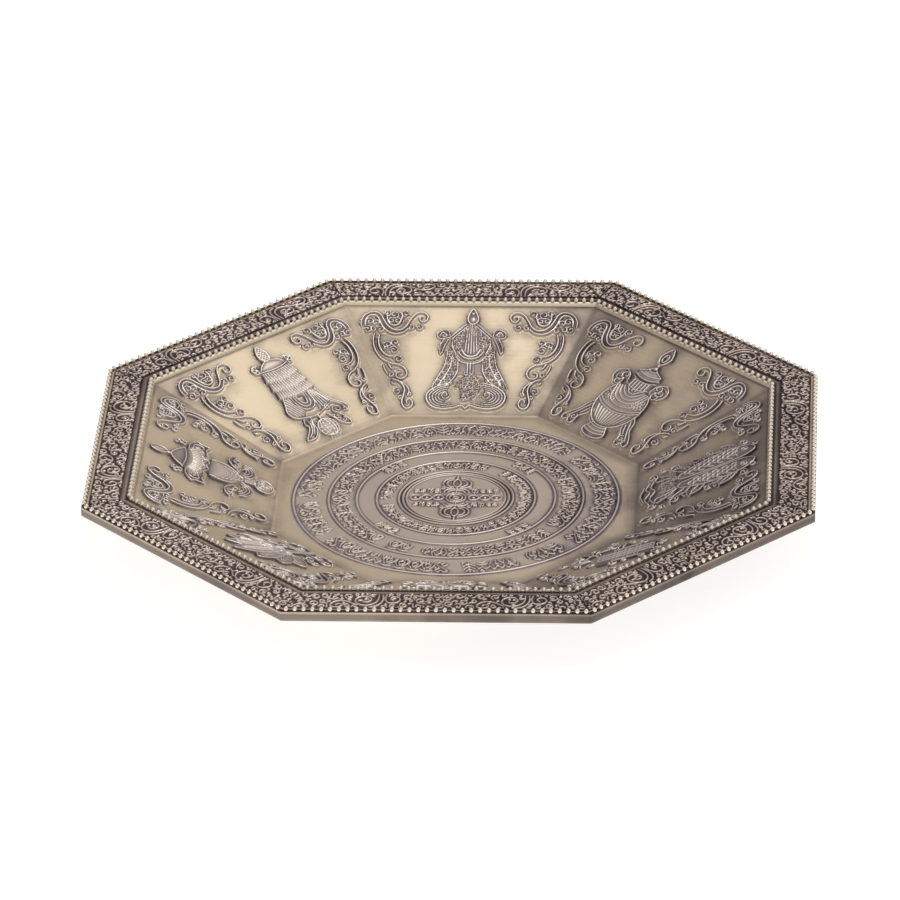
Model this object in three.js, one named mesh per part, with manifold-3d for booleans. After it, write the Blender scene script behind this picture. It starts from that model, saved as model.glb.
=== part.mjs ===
// Eight-sided offering tray in antiqued brass: a shallow dish with a flat floor,
// eight sloping panels and a beaded rim. Millimetres, +Z up, the front side faces -Y.
// The origin is the centre of the flat underside that the tray rests on.

import * as THREE from "three";
import { mergeVertices } from "three/addons/utils/BufferGeometryUtils.js";
import Module from "manifold-3d";

const wasm = await Module();
wasm.setup();

// Driving dimensions of the dish. An apothem is the distance from the centre to a flat side.
const SIDE_NAMES = [
  "front", "front_right", "right", "back_right", "back", "back_left", "left", "front_left",
];
const RIM_APOTHEM = 100;
const RIM_WIDTH = 13.6;
const FLOOR_APOTHEM = 49.5;
const FLOOR_THICKNESS = 2;
const WALL = 2;
const DISH_DEPTH = 18;
const RISER_HEIGHT = 1.4;
const SKIRT_HEIGHT = 3;
const SKIRT_THICKNESS = 1.6;
const SKIRT_CHAMFER = 0.4;

// Beaded rails on the rim, one along its outer edge and one along the edge of the dish.
const OUTER_RAIL_WIDTH = 1.4;
const OUTER_BEAD_PITCH = 2.36;
const INNER_RAIL_WIDTH = 1.9;
const INNER_RAIL_SETBACK = 0.3;
const INNER_BEAD_PITCH = 2.24;
const RAIL_HEIGHT = 0.5;
const BEAD_RISE = 0.8;
const BEAD_SHOULDER = 0.45;

// Scroll friezes between the two rails.
const FRIEZE_GROOVE = 0.8;
const FRIEZE_INNER_GROOVE = 1.3;
const FRIEZE_PLATE = 0.3;
const FRIEZE_RELIEF = 0.9;
const FRIEZE_LINE = 1;
const FRIEZE_REPEATS = 2;

// Relief on the sloping panels and on the floor.
const SYMBOL_RELIEF = 0.6;
const SYMBOL_BOSS = 0.5;
const SYMBOL_STEP = 0.2;
const SCROLL_RELIEF = 0.9;
const SCROLL_WIDTH = 1.5;
const RING_RADII = { outer: 45.2, second: 35.4, third: 27.6, fourth: 22 };
const RING_WIDTH = 1.1;
const RING_RELIEF = 0.5;
const EMBLEM_RING_RADIUS = 15.8;
const EMBLEM_RING_PITCH = 1.1;
const EMBLEM_RING_RIDGES = 3;
const SHAFT_RELIEF = 0.9;

// Clearances: between two lengths of moulding at a corner, and under relief on a slope.
const MITRE_GAP = 0.3;
const SEAT_GAP = 0.3;

// Counts of facets on round work.
const RING_SEGMENTS = 24;
const BOSS_FACETS = 5;

// Sizes that follow from the driving dimensions.
const SIDES = SIDE_NAMES.length;
const HALF_ANGLE = Math.PI / SIDES;
const FLOOR_TOP = FLOOR_THICKNESS;
const RIM_TOP = FLOOR_TOP + DISH_DEPTH;
const RISER_APOTHEM = RIM_APOTHEM - RIM_WIDTH;
const RISER_FOOT = RIM_TOP - RISER_HEIGHT;
const SLOPE_RUN = RISER_APOTHEM - FLOOR_APOTHEM;
const SLOPE_RISE = RISER_FOOT - FLOOR_TOP;
const SLOPE_LENGTH = Math.hypot(SLOPE_RUN, SLOPE_RISE);
const SLOPE_ANGLE = Math.atan2(SLOPE_RISE, SLOPE_RUN);
const PANEL_TOP_WIDTH = 2 * RISER_APOTHEM * Math.tan(HALF_ANGLE);
const SYMBOL_CREST = SYMBOL_RELIEF + 2 * SYMBOL_BOSS;
const INNER_RAIL_APOTHEM = RISER_APOTHEM + INNER_RAIL_SETBACK;
const FRIEZE_INNER = INNER_RAIL_APOTHEM + INNER_RAIL_WIDTH + FRIEZE_INNER_GROOVE;
const FRIEZE_OUTER = RIM_APOTHEM - OUTER_RAIL_WIDTH - FRIEZE_GROOVE;

// Colours of the casting, lighter where hands and polishing have rubbed it.
const FINISHES = {
  body: { color: 0x9c8a72, roughness: 0.42, metalness: 0.9 },
  bead: { color: 0xcdbd9d, roughness: 0.3, metalness: 0.95 },
  frieze: { color: 0x857a72, roughness: 0.5, metalness: 0.85 },
  relief: { color: 0xb5a58b, roughness: 0.38, metalness: 0.9 },
};

// The ornament of a panel is drawn on a sheet of its own and scaled to the real panel.
// This gives the scale and the length and half width that the panel has to spare.
function panelSheet() {
  const height = 40.3;
  const topWidth = 71.7;
  const scale = Math.min(SLOPE_LENGTH / height, PANEL_TOP_WIDTH / topWidth);
  return {
    scale,
    spareLength: SLOPE_LENGTH - height * scale,
    spareHalfWidth: (PANEL_TOP_WIDTH - topWidth * scale) / 2,
  };
}

const SHEET = panelSheet();

// Half the length of a moulding on one side at a given apothem, cut back at the mitre.
function mitredHalfLength(apothem) {
  return apothem * Math.tan(HALF_ANGLE) - MITRE_GAP / 2 / Math.cos(HALF_ANGLE);
}

// A geometry from a list of [x, y, z] points and triangles of their numbers.
function surface(points, triangles) {
  const geometry = new THREE.BufferGeometry();
  geometry.setAttribute("position", new THREE.Float32BufferAttribute(points.flat(), 3));
  geometry.setIndex(triangles.flat());
  return geometry;
}

// A closed geometry as a solid for joining.
function toSolid(geometry) {
  const bare = geometry.clone();
  bare.deleteAttribute("normal");
  bare.deleteAttribute("uv");
  const merged = mergeVertices(bare, 1e-5);
  return new wasm.Manifold(new wasm.Mesh({
    numProp: 3,
    vertProperties: new Float32Array(merged.attributes.position.array),
    triVerts: new Uint32Array(merged.index.array),
  }));
}

// Several closed geometries joined into one body.
function join(geometries) {
  const joined = geometries.map(toSolid).reduce((whole, piece) => whole.add(piece));
  const mesh = joined.getMesh();
  const geometry = new THREE.BufferGeometry();
  geometry.setAttribute("position", new THREE.BufferAttribute(mesh.vertProperties, 3));
  geometry.setIndex(new THREE.BufferAttribute(mesh.triVerts, 1));
  return geometry;
}

// A volute: an arc round (x, y) whose radius shrinks as it turns.
class Volute extends THREE.Curve {
  constructor(x, y, startRadius, endRadius, startDegrees, turnDegrees) {
    super();
    Object.assign(this, { x, y, startRadius, endRadius, startDegrees, turnDegrees });
  }

  getPoint(t, target = new THREE.Vector2()) {
    const angle = THREE.MathUtils.degToRad(this.startDegrees + t * this.turnDegrees);
    const radius = THREE.MathUtils.lerp(this.startRadius, this.endRadius, t);
    return target.set(this.x + radius * Math.cos(angle), this.y + radius * Math.sin(angle));
  }
}

// A flowing line through a few points.
function flow(...points) {
  return new THREE.SplineCurve(points.map(([x, y]) => new THREE.Vector2(x, y)));
}

// Points along curves that follow on from each other, given as pairs of curve and steps.
function alongCurves(pairs) {
  const points = [];
  for (const [curve, steps] of pairs) {
    const stretch = curve.getSpacedPoints(steps);
    points.push(...(points.length ? stretch.slice(1) : stretch));
  }
  return points;
}

// A ridge of triangular section, as a chaser raises it, along points on the XY plane.
// It is widest in the middle of its length and draws in to `tip` of its width at the ends.
function ridge(points, width, height, tip = 0.5) {
  const corners = [];
  const last = points.length - 1;
  points.forEach((point, i) => {
    const before = points[Math.max(i - 1, 0)];
    const after = points[Math.min(i + 1, last)];
    const across = new THREE.Vector2(before.y - after.y, after.x - before.x).normalize();
    const swell = tip + (1 - tip) * Math.sin((Math.PI * i) / last);
    across.multiplyScalar((width * swell) / 2);
    corners.push([point.x + across.x, point.y + across.y, 0]);
    corners.push([point.x - across.x, point.y - across.y, 0]);
    corners.push([point.x, point.y, height * swell]);
  });
  const triangles = [[0, 1, 2], [3 * last, 3 * last + 2, 3 * last + 1]];
  for (let i = 0; i < last; i += 1) {
    const [left, right, top] = [3 * i, 3 * i + 1, 3 * i + 2];
    const [nextLeft, nextRight, nextTop] = [left + 3, right + 3, top + 3];
    triangles.push([left, top, nextTop], [left, nextTop, nextLeft]);
    triangles.push([right, nextRight, nextTop], [right, nextTop, top]);
    triangles.push([left, nextLeft, nextRight], [left, nextRight, right]);
  }
  return surface(corners, triangles);
}

// A low faceted boss for a curled leaf end.
function boss(x, y, radius, height) {
  const geometry = new THREE.ConeGeometry(radius, height, BOSS_FACETS);
  geometry.rotateX(Math.PI / 2);
  geometry.translate(x, y, height / 2);
  return geometry;
}

// A flat-topped slab of an outline, standing on the XY plane from `base` up.
function slab(shape, height, base = 0) {
  const geometry = new THREE.ExtrudeGeometry(shape, {
    depth: height, bevelEnabled: false, curveSegments: 3,
  });
  geometry.translate(0, 0, base);
  return geometry;
}

// A closed outline whose points are joined by a smooth curve.
function roundOutline(points, steps) {
  const curve = new THREE.CatmullRomCurve3(
    points.map(([x, y]) => new THREE.Vector3(x, y, 0)), true,
  );
  return new THREE.Shape(curve.getSpacedPoints(steps).slice(0, steps)
    .map(({ x, y }) => new THREE.Vector2(x, y)));
}

// An outline with straight edges.
function straightOutline(points) {
  return new THREE.Shape(points.map(([x, y]) => new THREE.Vector2(x, y)));
}

// An outline that is the same left and right, from the right half's points, top to bottom.
function evenOutline(right) {
  const left = right.filter(([x]) => x > 0).map(([x, y]) => [-x, y]).reverse();
  return straightOutline([...right, ...left]);
}

// A disc with straight facets.
function disc(x, y, radius, facets) {
  const points = [];
  for (let i = 0; i < facets; i += 1) {
    const angle = (2 * Math.PI * (i + 0.5)) / facets;
    points.push([x + radius * Math.cos(angle), y + radius * Math.sin(angle)]);
  }
  return straightOutline(points);
}

// A copy of a geometry turned over left to right, with its faces still pointing out.
function mirrored(geometry) {
  const copy = geometry.clone();
  copy.scale(-1, 1, 1);
  const index = copy.index.array;
  for (let i = 0; i < index.length; i += 3) {
    [index[i], index[i + 1]] = [index[i + 1], index[i]];
  }
  return copy;
}

// The dish: an eight-sided lathe profile, from the underside round the rim to the floor.
function trayShell() {
  const wallDrop = WALL * Math.cos(SLOPE_ANGLE);
  const rimUnderside = RIM_TOP - WALL;
  const undersideAt = (z) => {
    const along = (z - FLOOR_TOP + wallDrop) / Math.sin(SLOPE_ANGLE);
    return FLOOR_APOTHEM + WALL * Math.sin(SLOPE_ANGLE) + along * Math.cos(SLOPE_ANGLE);
  };
  const skirtFoot = RIM_TOP - SKIRT_HEIGHT;
  const profile = [
    [0, 0],
    [undersideAt(0), 0],
    [undersideAt(rimUnderside), rimUnderside],
    [RIM_APOTHEM - SKIRT_THICKNESS, rimUnderside],
    [RIM_APOTHEM - SKIRT_THICKNESS, skirtFoot],
    [RIM_APOTHEM - SKIRT_CHAMFER, skirtFoot],
    [RIM_APOTHEM, skirtFoot + SKIRT_CHAMFER],
    [RIM_APOTHEM, RIM_TOP],
    [RISER_APOTHEM, RIM_TOP],
    [RISER_APOTHEM, RISER_FOOT],
    [FLOOR_APOTHEM, FLOOR_TOP],
    [0, FLOOR_TOP],
  ];
  const corners = profile.map(
    ([apothem, z]) => new THREE.Vector2(apothem / Math.cos(HALF_ANGLE), z),
  );
  const geometry = new THREE.LatheGeometry(corners, SIDES, HALF_ANGLE);
  geometry.rotateX(Math.PI / 2);
  return geometry;
}

// One side's length of beaded rail. Each bead is a five-faced pearl between V notches.
// The rail's face towards `shown` rises and falls with the beads, and the face towards
// the frieze's groove is straight.
function beadRail(shown, hidden, pitch) {
  const middle = (shown + hidden) / 2;
  const turn = Math.sign(hidden - shown);
  const beads = Math.round((2 * mitredHalfLength(middle)) / pitch);
  const points = [];
  const add = (apothem, share, z) => {
    points.push([turn * mitredHalfLength(apothem) * (2 * share - 1), -apothem, z]);
    return points.length - 1;
  };
  const notches = [];
  for (let i = 0; i <= beads; i += 1) {
    notches.push([add(shown, i / beads, RAIL_HEIGHT), add(hidden, i / beads, RAIL_HEIGHT)]);
  }
  const [shownStart, hiddenStart] = [add(shown, 0, 0), add(hidden, 0, 0)];
  const [shownEnd, hiddenEnd] = [add(shown, 1, 0), add(hidden, 1, 0)];
  const triangles = [];
  for (let i = 0; i < beads; i += 1) {
    const share = (i + 0.5) / beads;
    const shoulder = add(shown, share, RAIL_HEIGHT + BEAD_SHOULDER);
    const crown = add(middle, share, RAIL_HEIGHT + BEAD_RISE);
    const [near, far] = notches[i];
    const [nextNear, nextFar] = notches[i + 1];
    const ring = [near, far, nextFar, nextNear, shoulder];
    ring.forEach((corner, n) => {
      triangles.push([corner, ring[(n + 1) % ring.length], crown]);
    });
    triangles.push([shownStart, near, shoulder], [shownStart, shoulder, nextNear]);
    triangles.push([hiddenStart, nextFar, far]);
  }
  const [lastNear, lastFar] = notches[beads];
  triangles.push([shownStart, lastNear, shownEnd], [hiddenStart, hiddenEnd, lastFar]);
  triangles.push([shownStart, hiddenStart, notches[0][1]]);
  triangles.push([shownStart, notches[0][1], notches[0][0]]);
  triangles.push([shownEnd, lastNear, lastFar], [shownEnd, lastFar, hiddenEnd]);
  triangles.push([shownStart, shownEnd, hiddenEnd], [shownStart, hiddenEnd, hiddenStart]);
  return surface(points, triangles);
}

// The running scroll of a frieze, drawn from its own centre: a large volute that flows
// into a curled tendril, and a smaller volute and curls beside it. It is drawn for a strip
// and a repeat of its own and scaled to the real ones.
function friezeScroll(centre, stripWidth, repeat) {
  const drawnWidth = 7.9;
  const drawnRepeat = 39;
  const scale = Math.min(stripWidth / drawnWidth, repeat / drawnRepeat);
  const large = alongCurves([
    [flow([-3.4, -3.4], [-3.2, -0.6]), 1],
    [new Volute(-0.1, -0.1, 2.9, 1.2, 170, -340), 6],
  ]);
  const tendril = alongCurves([
    [flow([2.1, 2.1], [4.4, 1.2], [6.4, 0.2], [8.3, 0.7]), 2],
    [new Volute(7.2, 2.4, 1.9, 0.8, -55, 230), 3],
  ]);
  const small = alongCurves([
    [flow([-4.6, -3.4], [-4.6, -0.9]), 1],
    [new Volute(-6.7, -0.6, 2.1, 0.9, 0, 330), 4],
  ]);
  const lines = [large, tendril, small].map(
    (points) => ridge(points, FRIEZE_LINE / scale, FRIEZE_RELIEF, 0.8),
  );
  const curls = [[-10.4, 2.3, 1.3], [11.2, -1.6, 1.3]]
    .map(([x, y, radius]) => boss(x, y, radius, FRIEZE_RELIEF));
  return [...lines, ...curls].map((piece) => {
    piece.scale(scale, scale, 1);
    piece.translate(centre, 0, 0);
    return piece;
  });
}

// One side's frieze: a thin strip with mitred ends and the scroll repeated along it.
// Seen from the middle of the tray, X runs to the right and Y outwards.
function frieze() {
  const width = FRIEZE_OUTER - FRIEZE_INNER;
  const middle = (FRIEZE_OUTER + FRIEZE_INNER) / 2;
  const strip = straightOutline([
    [-mitredHalfLength(FRIEZE_INNER), -width / 2],
    [mitredHalfLength(FRIEZE_INNER), -width / 2],
    [mitredHalfLength(FRIEZE_OUTER), width / 2],
    [-mitredHalfLength(FRIEZE_OUTER), width / 2],
  ]);
  const pieces = [slab(strip, FRIEZE_PLATE)];
  const repeat = (2 * mitredHalfLength(middle)) / FRIEZE_REPEATS;
  for (let i = 0; i < FRIEZE_REPEATS; i += 1) {
    pieces.push(...friezeScroll((i + 0.5 - FRIEZE_REPEATS / 2) * repeat, width, repeat));
  }
  return join(pieces);
}

// The leaf scroll of a panel's left side, drawn from the middle of the panel's foot:
// a corner volute that runs into an S with a curled end, and a tail with curls below it.
function cornerScroll() {
  const arm = alongCurves([
    [new Volute(-28.3, 34.4, 1.6, 3, -330, -300), 5],
    [flow([-26, 36.6], [-24.4, 34], [-22.5, 32], [-20.4, 31.6], [-18.2, 32.6], [-16.6, 35.4]), 4],
    [new Volute(-14, 35.8, 2.4, 1, 160, -290), 4],
  ]);
  const tail = alongCurves([
    [flow([-27.8, 32.4], [-26.6, 29], [-26, 25], [-24.2, 21.8], [-21.4, 19.4], [-18.6, 17.5]), 4],
    [new Volute(-19, 15.6, 1.8, 0.9, 70, -290), 4],
  ]);
  const stalk = alongCurves([
    [flow([-19.2, 14.2], [-19.8, 12.8], [-18.2, 11], [-17.2, 8], [-16.7, 5.4], [-16.7, 2.8]), 4],
  ]);
  const leaf = alongCurves([[flow([-25.2, 24.4], [-23, 22.8], [-21.4, 24.4]), 2]]);
  const curls = [
    [-22.2, 33.2, 1.8], [-14.2, 33.8, 1.5], [-21.4, 25, 1.8], [-20.2, 20.2, 1.5], [-18.4, 8.8, 1.5],
  ];
  const width = SCROLL_WIDTH / SHEET.scale;
  return join([
    ridge(arm, width, SCROLL_RELIEF, 0.7),
    ridge(tail, width, SCROLL_RELIEF, 0.7),
    ridge(stalk, width, SCROLL_RELIEF, 0.5),
    ridge(leaf, width, SCROLL_RELIEF, 0.6),
    ...curls.map(([x, y, radius]) => boss(x, y, radius, SCROLL_RELIEF)),
  ]);
}

// Ribbons that hang from both sides of a symbol, from (x, top) down and out to (end, foot).
function ribbons(x, top, end, foot) {
  const line = flow([x, top], [end, top - (top - foot) * 0.25], [end - 1.4, foot + 2.6], [end, foot]);
  const right = ridge(line.getSpacedPoints(5), 1.8, SYMBOL_RELIEF, 0.6);
  return [right, mirrored(right)];
}

// A conch with a jewelled tip over draped cloth and a cloud of two lobes.
function conchShell() {
  const shell = roundOutline([
    [0.6, 39.2], [2.2, 35], [6, 29], [6, 24], [3, 20.2], [-2, 20.2], [-5, 24], [-4.6, 29], [-0.8, 35],
  ], 16);
  const cloth = straightOutline([
    [-6.4, 21.5], [6.8, 21.5], [8.6, 16], [10.4, 9.6], [-10.2, 9.6], [-9, 15],
  ]);
  const cloud = roundOutline([
    [0, 10.6], [-6, 11.4], [-11, 7.5], [-8, 2.8], [0, 4], [8, 2.6], [11, 6.8], [7, 11.2],
  ], 18);
  return join([
    slab(cloth, SYMBOL_RELIEF),
    slab(cloud, SYMBOL_RELIEF + SYMBOL_BOSS / 2),
    slab(shell, SYMBOL_RELIEF + SYMBOL_BOSS),
    ridge(flow([0.6, 38], [0.4, 30], [0.4, 22]).getSpacedPoints(2), 2.4, SYMBOL_CREST, 0.6),
    ...ribbons(4.6, 26, 9.4, 20),
  ]);
}

// A vase with a leaf finial, a swagged belly, a fluted bowl and a ringed foot.
function treasureVase() {
  const outline = evenOutline([
    [0, 38.4], [1.6, 34], [1, 30.4], [4.3, 28.6], [4.3, 25.6], [2.6, 23.4], [7.8, 19.4],
    [7.4, 14.8], [8, 11], [4.6, 6.2], [4.6, 1.9],
  ]);
  const belly = roundOutline([[0, 21.4], [6.6, 18.4], [0, 15.6], [-6.6, 18.4]], 10);
  const bowl = roundOutline([[0, 12.8], [6.8, 11.4], [0, 6.8], [-6.8, 11.4]], 10);
  return join([
    slab(outline, SYMBOL_RELIEF),
    slab(belly, SYMBOL_BOSS, SYMBOL_RELIEF),
    slab(bowl, SYMBOL_BOSS, SYMBOL_RELIEF),
    ...ribbons(2.6, 25, 9.6, 20.4),
    ...ribbons(6.6, 12.6, 12.4, 3.4),
  ]);
}

// A banner of three pleated tiers over a skirt, with a finial above and a tassel below.
function victoryBanner() {
  const outline = evenOutline([
    [0, 38.4], [1.7, 35], [1.2, 32.9], [4.7, 31.4], [4.7, 29.7], [6.6, 26.2], [5.6, 26.2],
    [6.8, 22.2], [5.8, 22.2], [7, 19.2], [6.2, 19.2], [8.8, 8.4], [3, 8.4], [3, 3.4], [0, 1.8],
  ]);
  const swag = roundOutline([[0, 18.2], [3.4, 16], [2.6, 12], [0, 10.6], [-2.6, 12], [-3.4, 16]], 10);
  return join([
    slab(outline, SYMBOL_RELIEF),
    slab(straightOutline([[-5, 29], [5, 29], [5.6, 27], [-5.6, 27]]), SYMBOL_BOSS, SYMBOL_RELIEF),
    slab(straightOutline([[-5, 25.2], [5, 25.2], [5.6, 23], [-5.6, 23]]), SYMBOL_BOSS, SYMBOL_RELIEF),
    slab(swag, SYMBOL_BOSS, SYMBOL_RELIEF),
    slab(disc(0, 4.8, 2.4, 8), SYMBOL_BOSS, SYMBOL_RELIEF),
    ...ribbons(6, 10, 8.4, 3),
  ]);
}

// A parasol with a pointed top, a scalloped canopy, a draped shaft and curling ribbons.
function parasol() {
  const outline = evenOutline([
    [0, 38.2], [1.7, 35.6], [1.2, 33], [4.9, 28.6], [3.6, 27.2], [8.4, 26.6], [11.3, 23.4],
    [10.6, 20.8], [8.6, 22], [6.6, 20.6], [4.4, 20.8], [4.4, 11], [1.6, 10.4], [2.4, 6], [0, 1.8],
  ]);
  const canopy = evenOutline([[0, 26.2], [7, 25.4], [9.6, 23.2], [5, 22.4], [0, 22]]);
  return join([
    slab(outline, SYMBOL_RELIEF),
    slab(canopy, SYMBOL_BOSS, SYMBOL_RELIEF),
    slab(evenOutline([[0, 19.6], [3, 18.6], [2, 13.4], [0, 12.4]]), SYMBOL_BOSS, SYMBOL_RELIEF),
    slab(disc(0, 5.4, 1.7, 8), SYMBOL_BOSS, SYMBOL_RELIEF),
    ...ribbons(3.6, 14.4, 10.6, 7.4),
  ]);
}

// Two fish side by side, heads up and tails down, on a small leafy base.
function pairOfFish() {
  const body = roundOutline([
    [4.2, 37.4], [7, 33], [7.6, 25], [5.4, 17], [3, 12], [1.2, 13], [0.8, 22], [1.4, 32],
  ], 14);
  const fish = [
    slab(body, SYMBOL_RELIEF + SYMBOL_BOSS),
    slab(straightOutline([[2.2, 13.6], [6.8, 6.6], [3.4, 7.6], [-0.8, 6.6]]), SYMBOL_RELIEF),
    slab(straightOutline([[6.6, 30], [10.4, 26], [10, 20.4], [6.6, 23]]), SYMBOL_RELIEF),
    boss(4.6, 33.4, 1.1, SYMBOL_CREST),
  ];
  const base = evenOutline([[0, 8], [6, 7.6], [9, 4.6], [5, 1.9]]);
  return join([
    slab(base, SYMBOL_RELIEF + SYMBOL_STEP),
    slab(evenOutline([[0, 31], [1.4, 30], [1.4, 8]]), SYMBOL_RELIEF - SYMBOL_STEP),
    ...fish,
    ...fish.map((piece) => mirrored(mergeVertices(piece))),
  ]);
}

// A lotus seen from the side: a fan of petals over leaves, on a stem.
function lotus() {
  const widest = 60;
  const petals = [];
  for (const tilt of [-widest, -widest / 2, 0, widest / 2, widest]) {
    const turned = Math.abs(tilt) / widest;
    const petal = slab(
      evenOutline([[0, 19 - 3 * turned], [3.6, 11], [1.6, 2]]),
      SYMBOL_RELIEF + SYMBOL_BOSS - SYMBOL_STEP * turned,
    );
    petal.rotateZ(-THREE.MathUtils.degToRad(tilt));
    petal.translate(0, 15.6, 0);
    petals.push(petal);
  }
  const cup = roundOutline([[0, 20.6], [4.6, 18], [0, 13], [-4.6, 18]], 10);
  const base = evenOutline([[0, 9.6], [5, 8.6], [9, 5], [5.4, 1.9]]);
  return join([
    ...petals,
    slab(cup, SYMBOL_RELIEF + SYMBOL_BOSS + SYMBOL_STEP),
    slab(evenOutline([[0, 16], [1.2, 15], [1.2, 6]]), SYMBOL_RELIEF),
    slab(base, SYMBOL_RELIEF + SYMBOL_STEP),
    ...ribbons(1, 13, 10, 5),
  ]);
}

// An endless knot: crossing bands whose ends turn back in square corners.
function endlessKnot() {
  const half = 7.4;
  const middle = 21.4;
  const bar = 1.4;
  const frame = (a, b) => {
    const outline = straightOutline([[-a, -b], [a, -b], [a, b], [-a, b]]);
    outline.holes.push(straightOutline([
      [-a + bar, -b + bar], [-a + bar, b - bar], [a - bar, b - bar], [a - bar, -b + bar],
    ]));
    return outline;
  };
  const bands = [[half, half / 3], [half / 3, half]].map(([a, b]) => {
    const band = slab(frame(a, b), SYMBOL_RELIEF + SYMBOL_BOSS);
    band.rotateZ(Math.PI / 4);
    band.translate(0, middle, 0);
    return band;
  });
  return join([
    ...bands,
    slab(evenOutline([[0, 38.4], [2, 34.4], [1.2, 24.6], [0, 23.8]]), SYMBOL_RELIEF),
    slab(evenOutline([[0, 19], [1.4, 18.4], [1.4, 8], [6, 7], [9, 4.4], [5, 1.9]]), SYMBOL_RELIEF),
    ...ribbons(4, 16.4, 10.6, 8.6),
  ]);
}

// A wheel with eight spokes, and a knob on the rim at each, over a leafy base.
function dharmaWheel() {
  const centre = 22.6;
  const spokes = 8;
  const halfSpoke = 0.7;
  const [hub, bore, rim, knob] = [2.4, 6.6, 8.4, 10.2];
  const step = (2 * Math.PI) / spokes;
  const at = (radius, angle, shift = 0) => [
    radius * Math.cos(angle) - shift * Math.sin(angle),
    radius * Math.sin(angle) + shift * Math.cos(angle),
  ];
  const edge = [];
  const gaps = [];
  for (let i = 0; i < spokes; i += 1) {
    const angle = (i + 0.5) * step;
    const next = angle + step;
    edge.push(at(rim, angle, -halfSpoke), at(knob, angle), at(rim, angle, halfSpoke));
    gaps.push(straightOutline([
      at(hub, angle, halfSpoke), at(bore, angle, halfSpoke),
      at(bore, (angle + next) / 2), at(bore, next, -halfSpoke), at(hub, next, -halfSpoke),
    ]));
  }
  const outline = straightOutline(edge);
  outline.holes.push(...gaps);
  const wheel = slab(outline, SYMBOL_RELIEF + SYMBOL_BOSS);
  wheel.rotateZ(step / 2);
  wheel.translate(0, centre, 0);
  return join([
    wheel,
    boss(0, centre, hub, SYMBOL_CREST),
    slab(evenOutline([[0, 38.4], [2, 34.6], [1, 31]]), SYMBOL_RELIEF),
    slab(evenOutline([[0, 14.6], [1.6, 14], [1.6, 8.4], [6, 7.4], [9, 4.6], [5, 1.9]]), SYMBOL_RELIEF),
    ...ribbons(6, 17, 11, 8.6),
  ]);
}

// A ring of one or more ridges round the middle of the floor. `radius` is the outer ridge.
function floorRing(radius, ridges = 1, pitch = 0) {
  const profile = [];
  for (let i = 0; i < ridges; i += 1) {
    const crest = radius - i * pitch;
    const valley = crest - pitch / 2;
    profile.push([crest, RING_RELIEF]);
    profile.push(i < ridges - 1 ? [valley, RING_RELIEF / 3] : [crest - RING_WIDTH / 2, 0]);
  }
  profile.unshift([radius + RING_WIDTH / 2, 0]);
  profile.push(profile[0]);
  const geometry = new THREE.LatheGeometry(
    profile.map(([r, z]) => new THREE.Vector2(r, z)), RING_SEGMENTS,
  );
  geometry.rotateX(Math.PI / 2);
  return geometry;
}

// The thunderbolt emblem: a shaft with a round middle, lotus collars and three-pronged heads.
// It is drawn for a ring of its own radius and scaled to the ring round it.
function vajraEmblem() {
  const drawnRadius = 15.8;
  const head = evenOutline([
    [0, 13.2], [1, 11.4], [2.6, 12], [3, 9.4], [1.6, 6.6], [2.4, 5.6], [1, 4.2], [1, 2],
  ]);
  const upper = slab(head, SYMBOL_RELIEF);
  const lower = upper.clone();
  lower.rotateZ(Math.PI);
  const rays = [-8.4, -5, 5, 8.4].map((x) => slab(disc(x, 0, 1.5, 8), SYMBOL_RELIEF));
  const bar = straightOutline([[-9, -0.5], [9, -0.5], [9, 0.5], [-9, 0.5]]);
  const emblem = join([
    upper, lower, ...rays,
    slab(bar, SYMBOL_RELIEF / 2),
    slab(disc(0, 0, 2.9, 10), SHAFT_RELIEF),
  ]);
  const scale = EMBLEM_RING_RADIUS / drawnRadius;
  return emblem.scale(scale, scale, 1);
}

// The symbol on each side's panel, in the order of SIDE_NAMES.
const SYMBOLS = [
  ["dharma_wheel", dharmaWheel], ["endless_knot", endlessKnot],
  ["pair_of_fish", pairOfFish], ["treasure_vase", treasureVase],
  ["conch_shell", conchShell], ["victory_banner", victoryBanner],
  ["parasol", parasol], ["lotus", lotus],
];

function piece(name, geometry, finish) {
  const material = new THREE.MeshStandardMaterial({ ...FINISHES[finish], flatShading: true });
  const mesh = new THREE.Mesh(geometry, material);
  mesh.name = name;
  return mesh;
}

// A group on the front panel's slope: X to the right seen from the middle of the tray,
// Y up the slope and Z out of the metal. It stands off by the clearance under relief.
function panelFrame() {
  const right = new THREE.Vector3(-1, 0, 0);
  const up = new THREE.Vector3(0, -Math.cos(SLOPE_ANGLE), Math.sin(SLOPE_ANGLE));
  const out = new THREE.Vector3().crossVectors(right, up);
  const group = new THREE.Group();
  group.quaternion.setFromRotationMatrix(new THREE.Matrix4().makeBasis(right, up, out));
  group.position.set(0, -FLOOR_APOTHEM, FLOOR_TOP).addScaledVector(out, SEAT_GAP);
  return group;
}

// A group on the front side's rim, with X to the right seen from the middle and Y outwards.
function rimFrame() {
  const group = new THREE.Group();
  group.rotation.z = Math.PI;
  group.position.set(0, -(FRIEZE_INNER + FRIEZE_OUTER) / 2, RIM_TOP);
  return group;
}

// The relief of one panel: its symbol in the middle and a scroll in each upper corner.
function panelRelief([symbolName, drawSymbol], scroll) {
  const group = panelFrame();
  const symbol = piece(symbolName, drawSymbol(), "relief");
  symbol.scale.set(SHEET.scale, SHEET.scale, 1);
  symbol.position.y = SHEET.spareLength / 2;
  const left = piece(`${symbolName}_left_scroll`, scroll, "relief");
  const right = piece(`${symbolName}_right_scroll`, mirrored(scroll), "relief");
  for (const [mesh, towards] of [[left, -1], [right, 1]]) {
    mesh.scale.set(SHEET.scale, SHEET.scale, 1);
    mesh.position.set(towards * SHEET.spareHalfWidth, SHEET.spareLength, 0);
  }
  group.add(symbol, left, right);
  return group;
}

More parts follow.
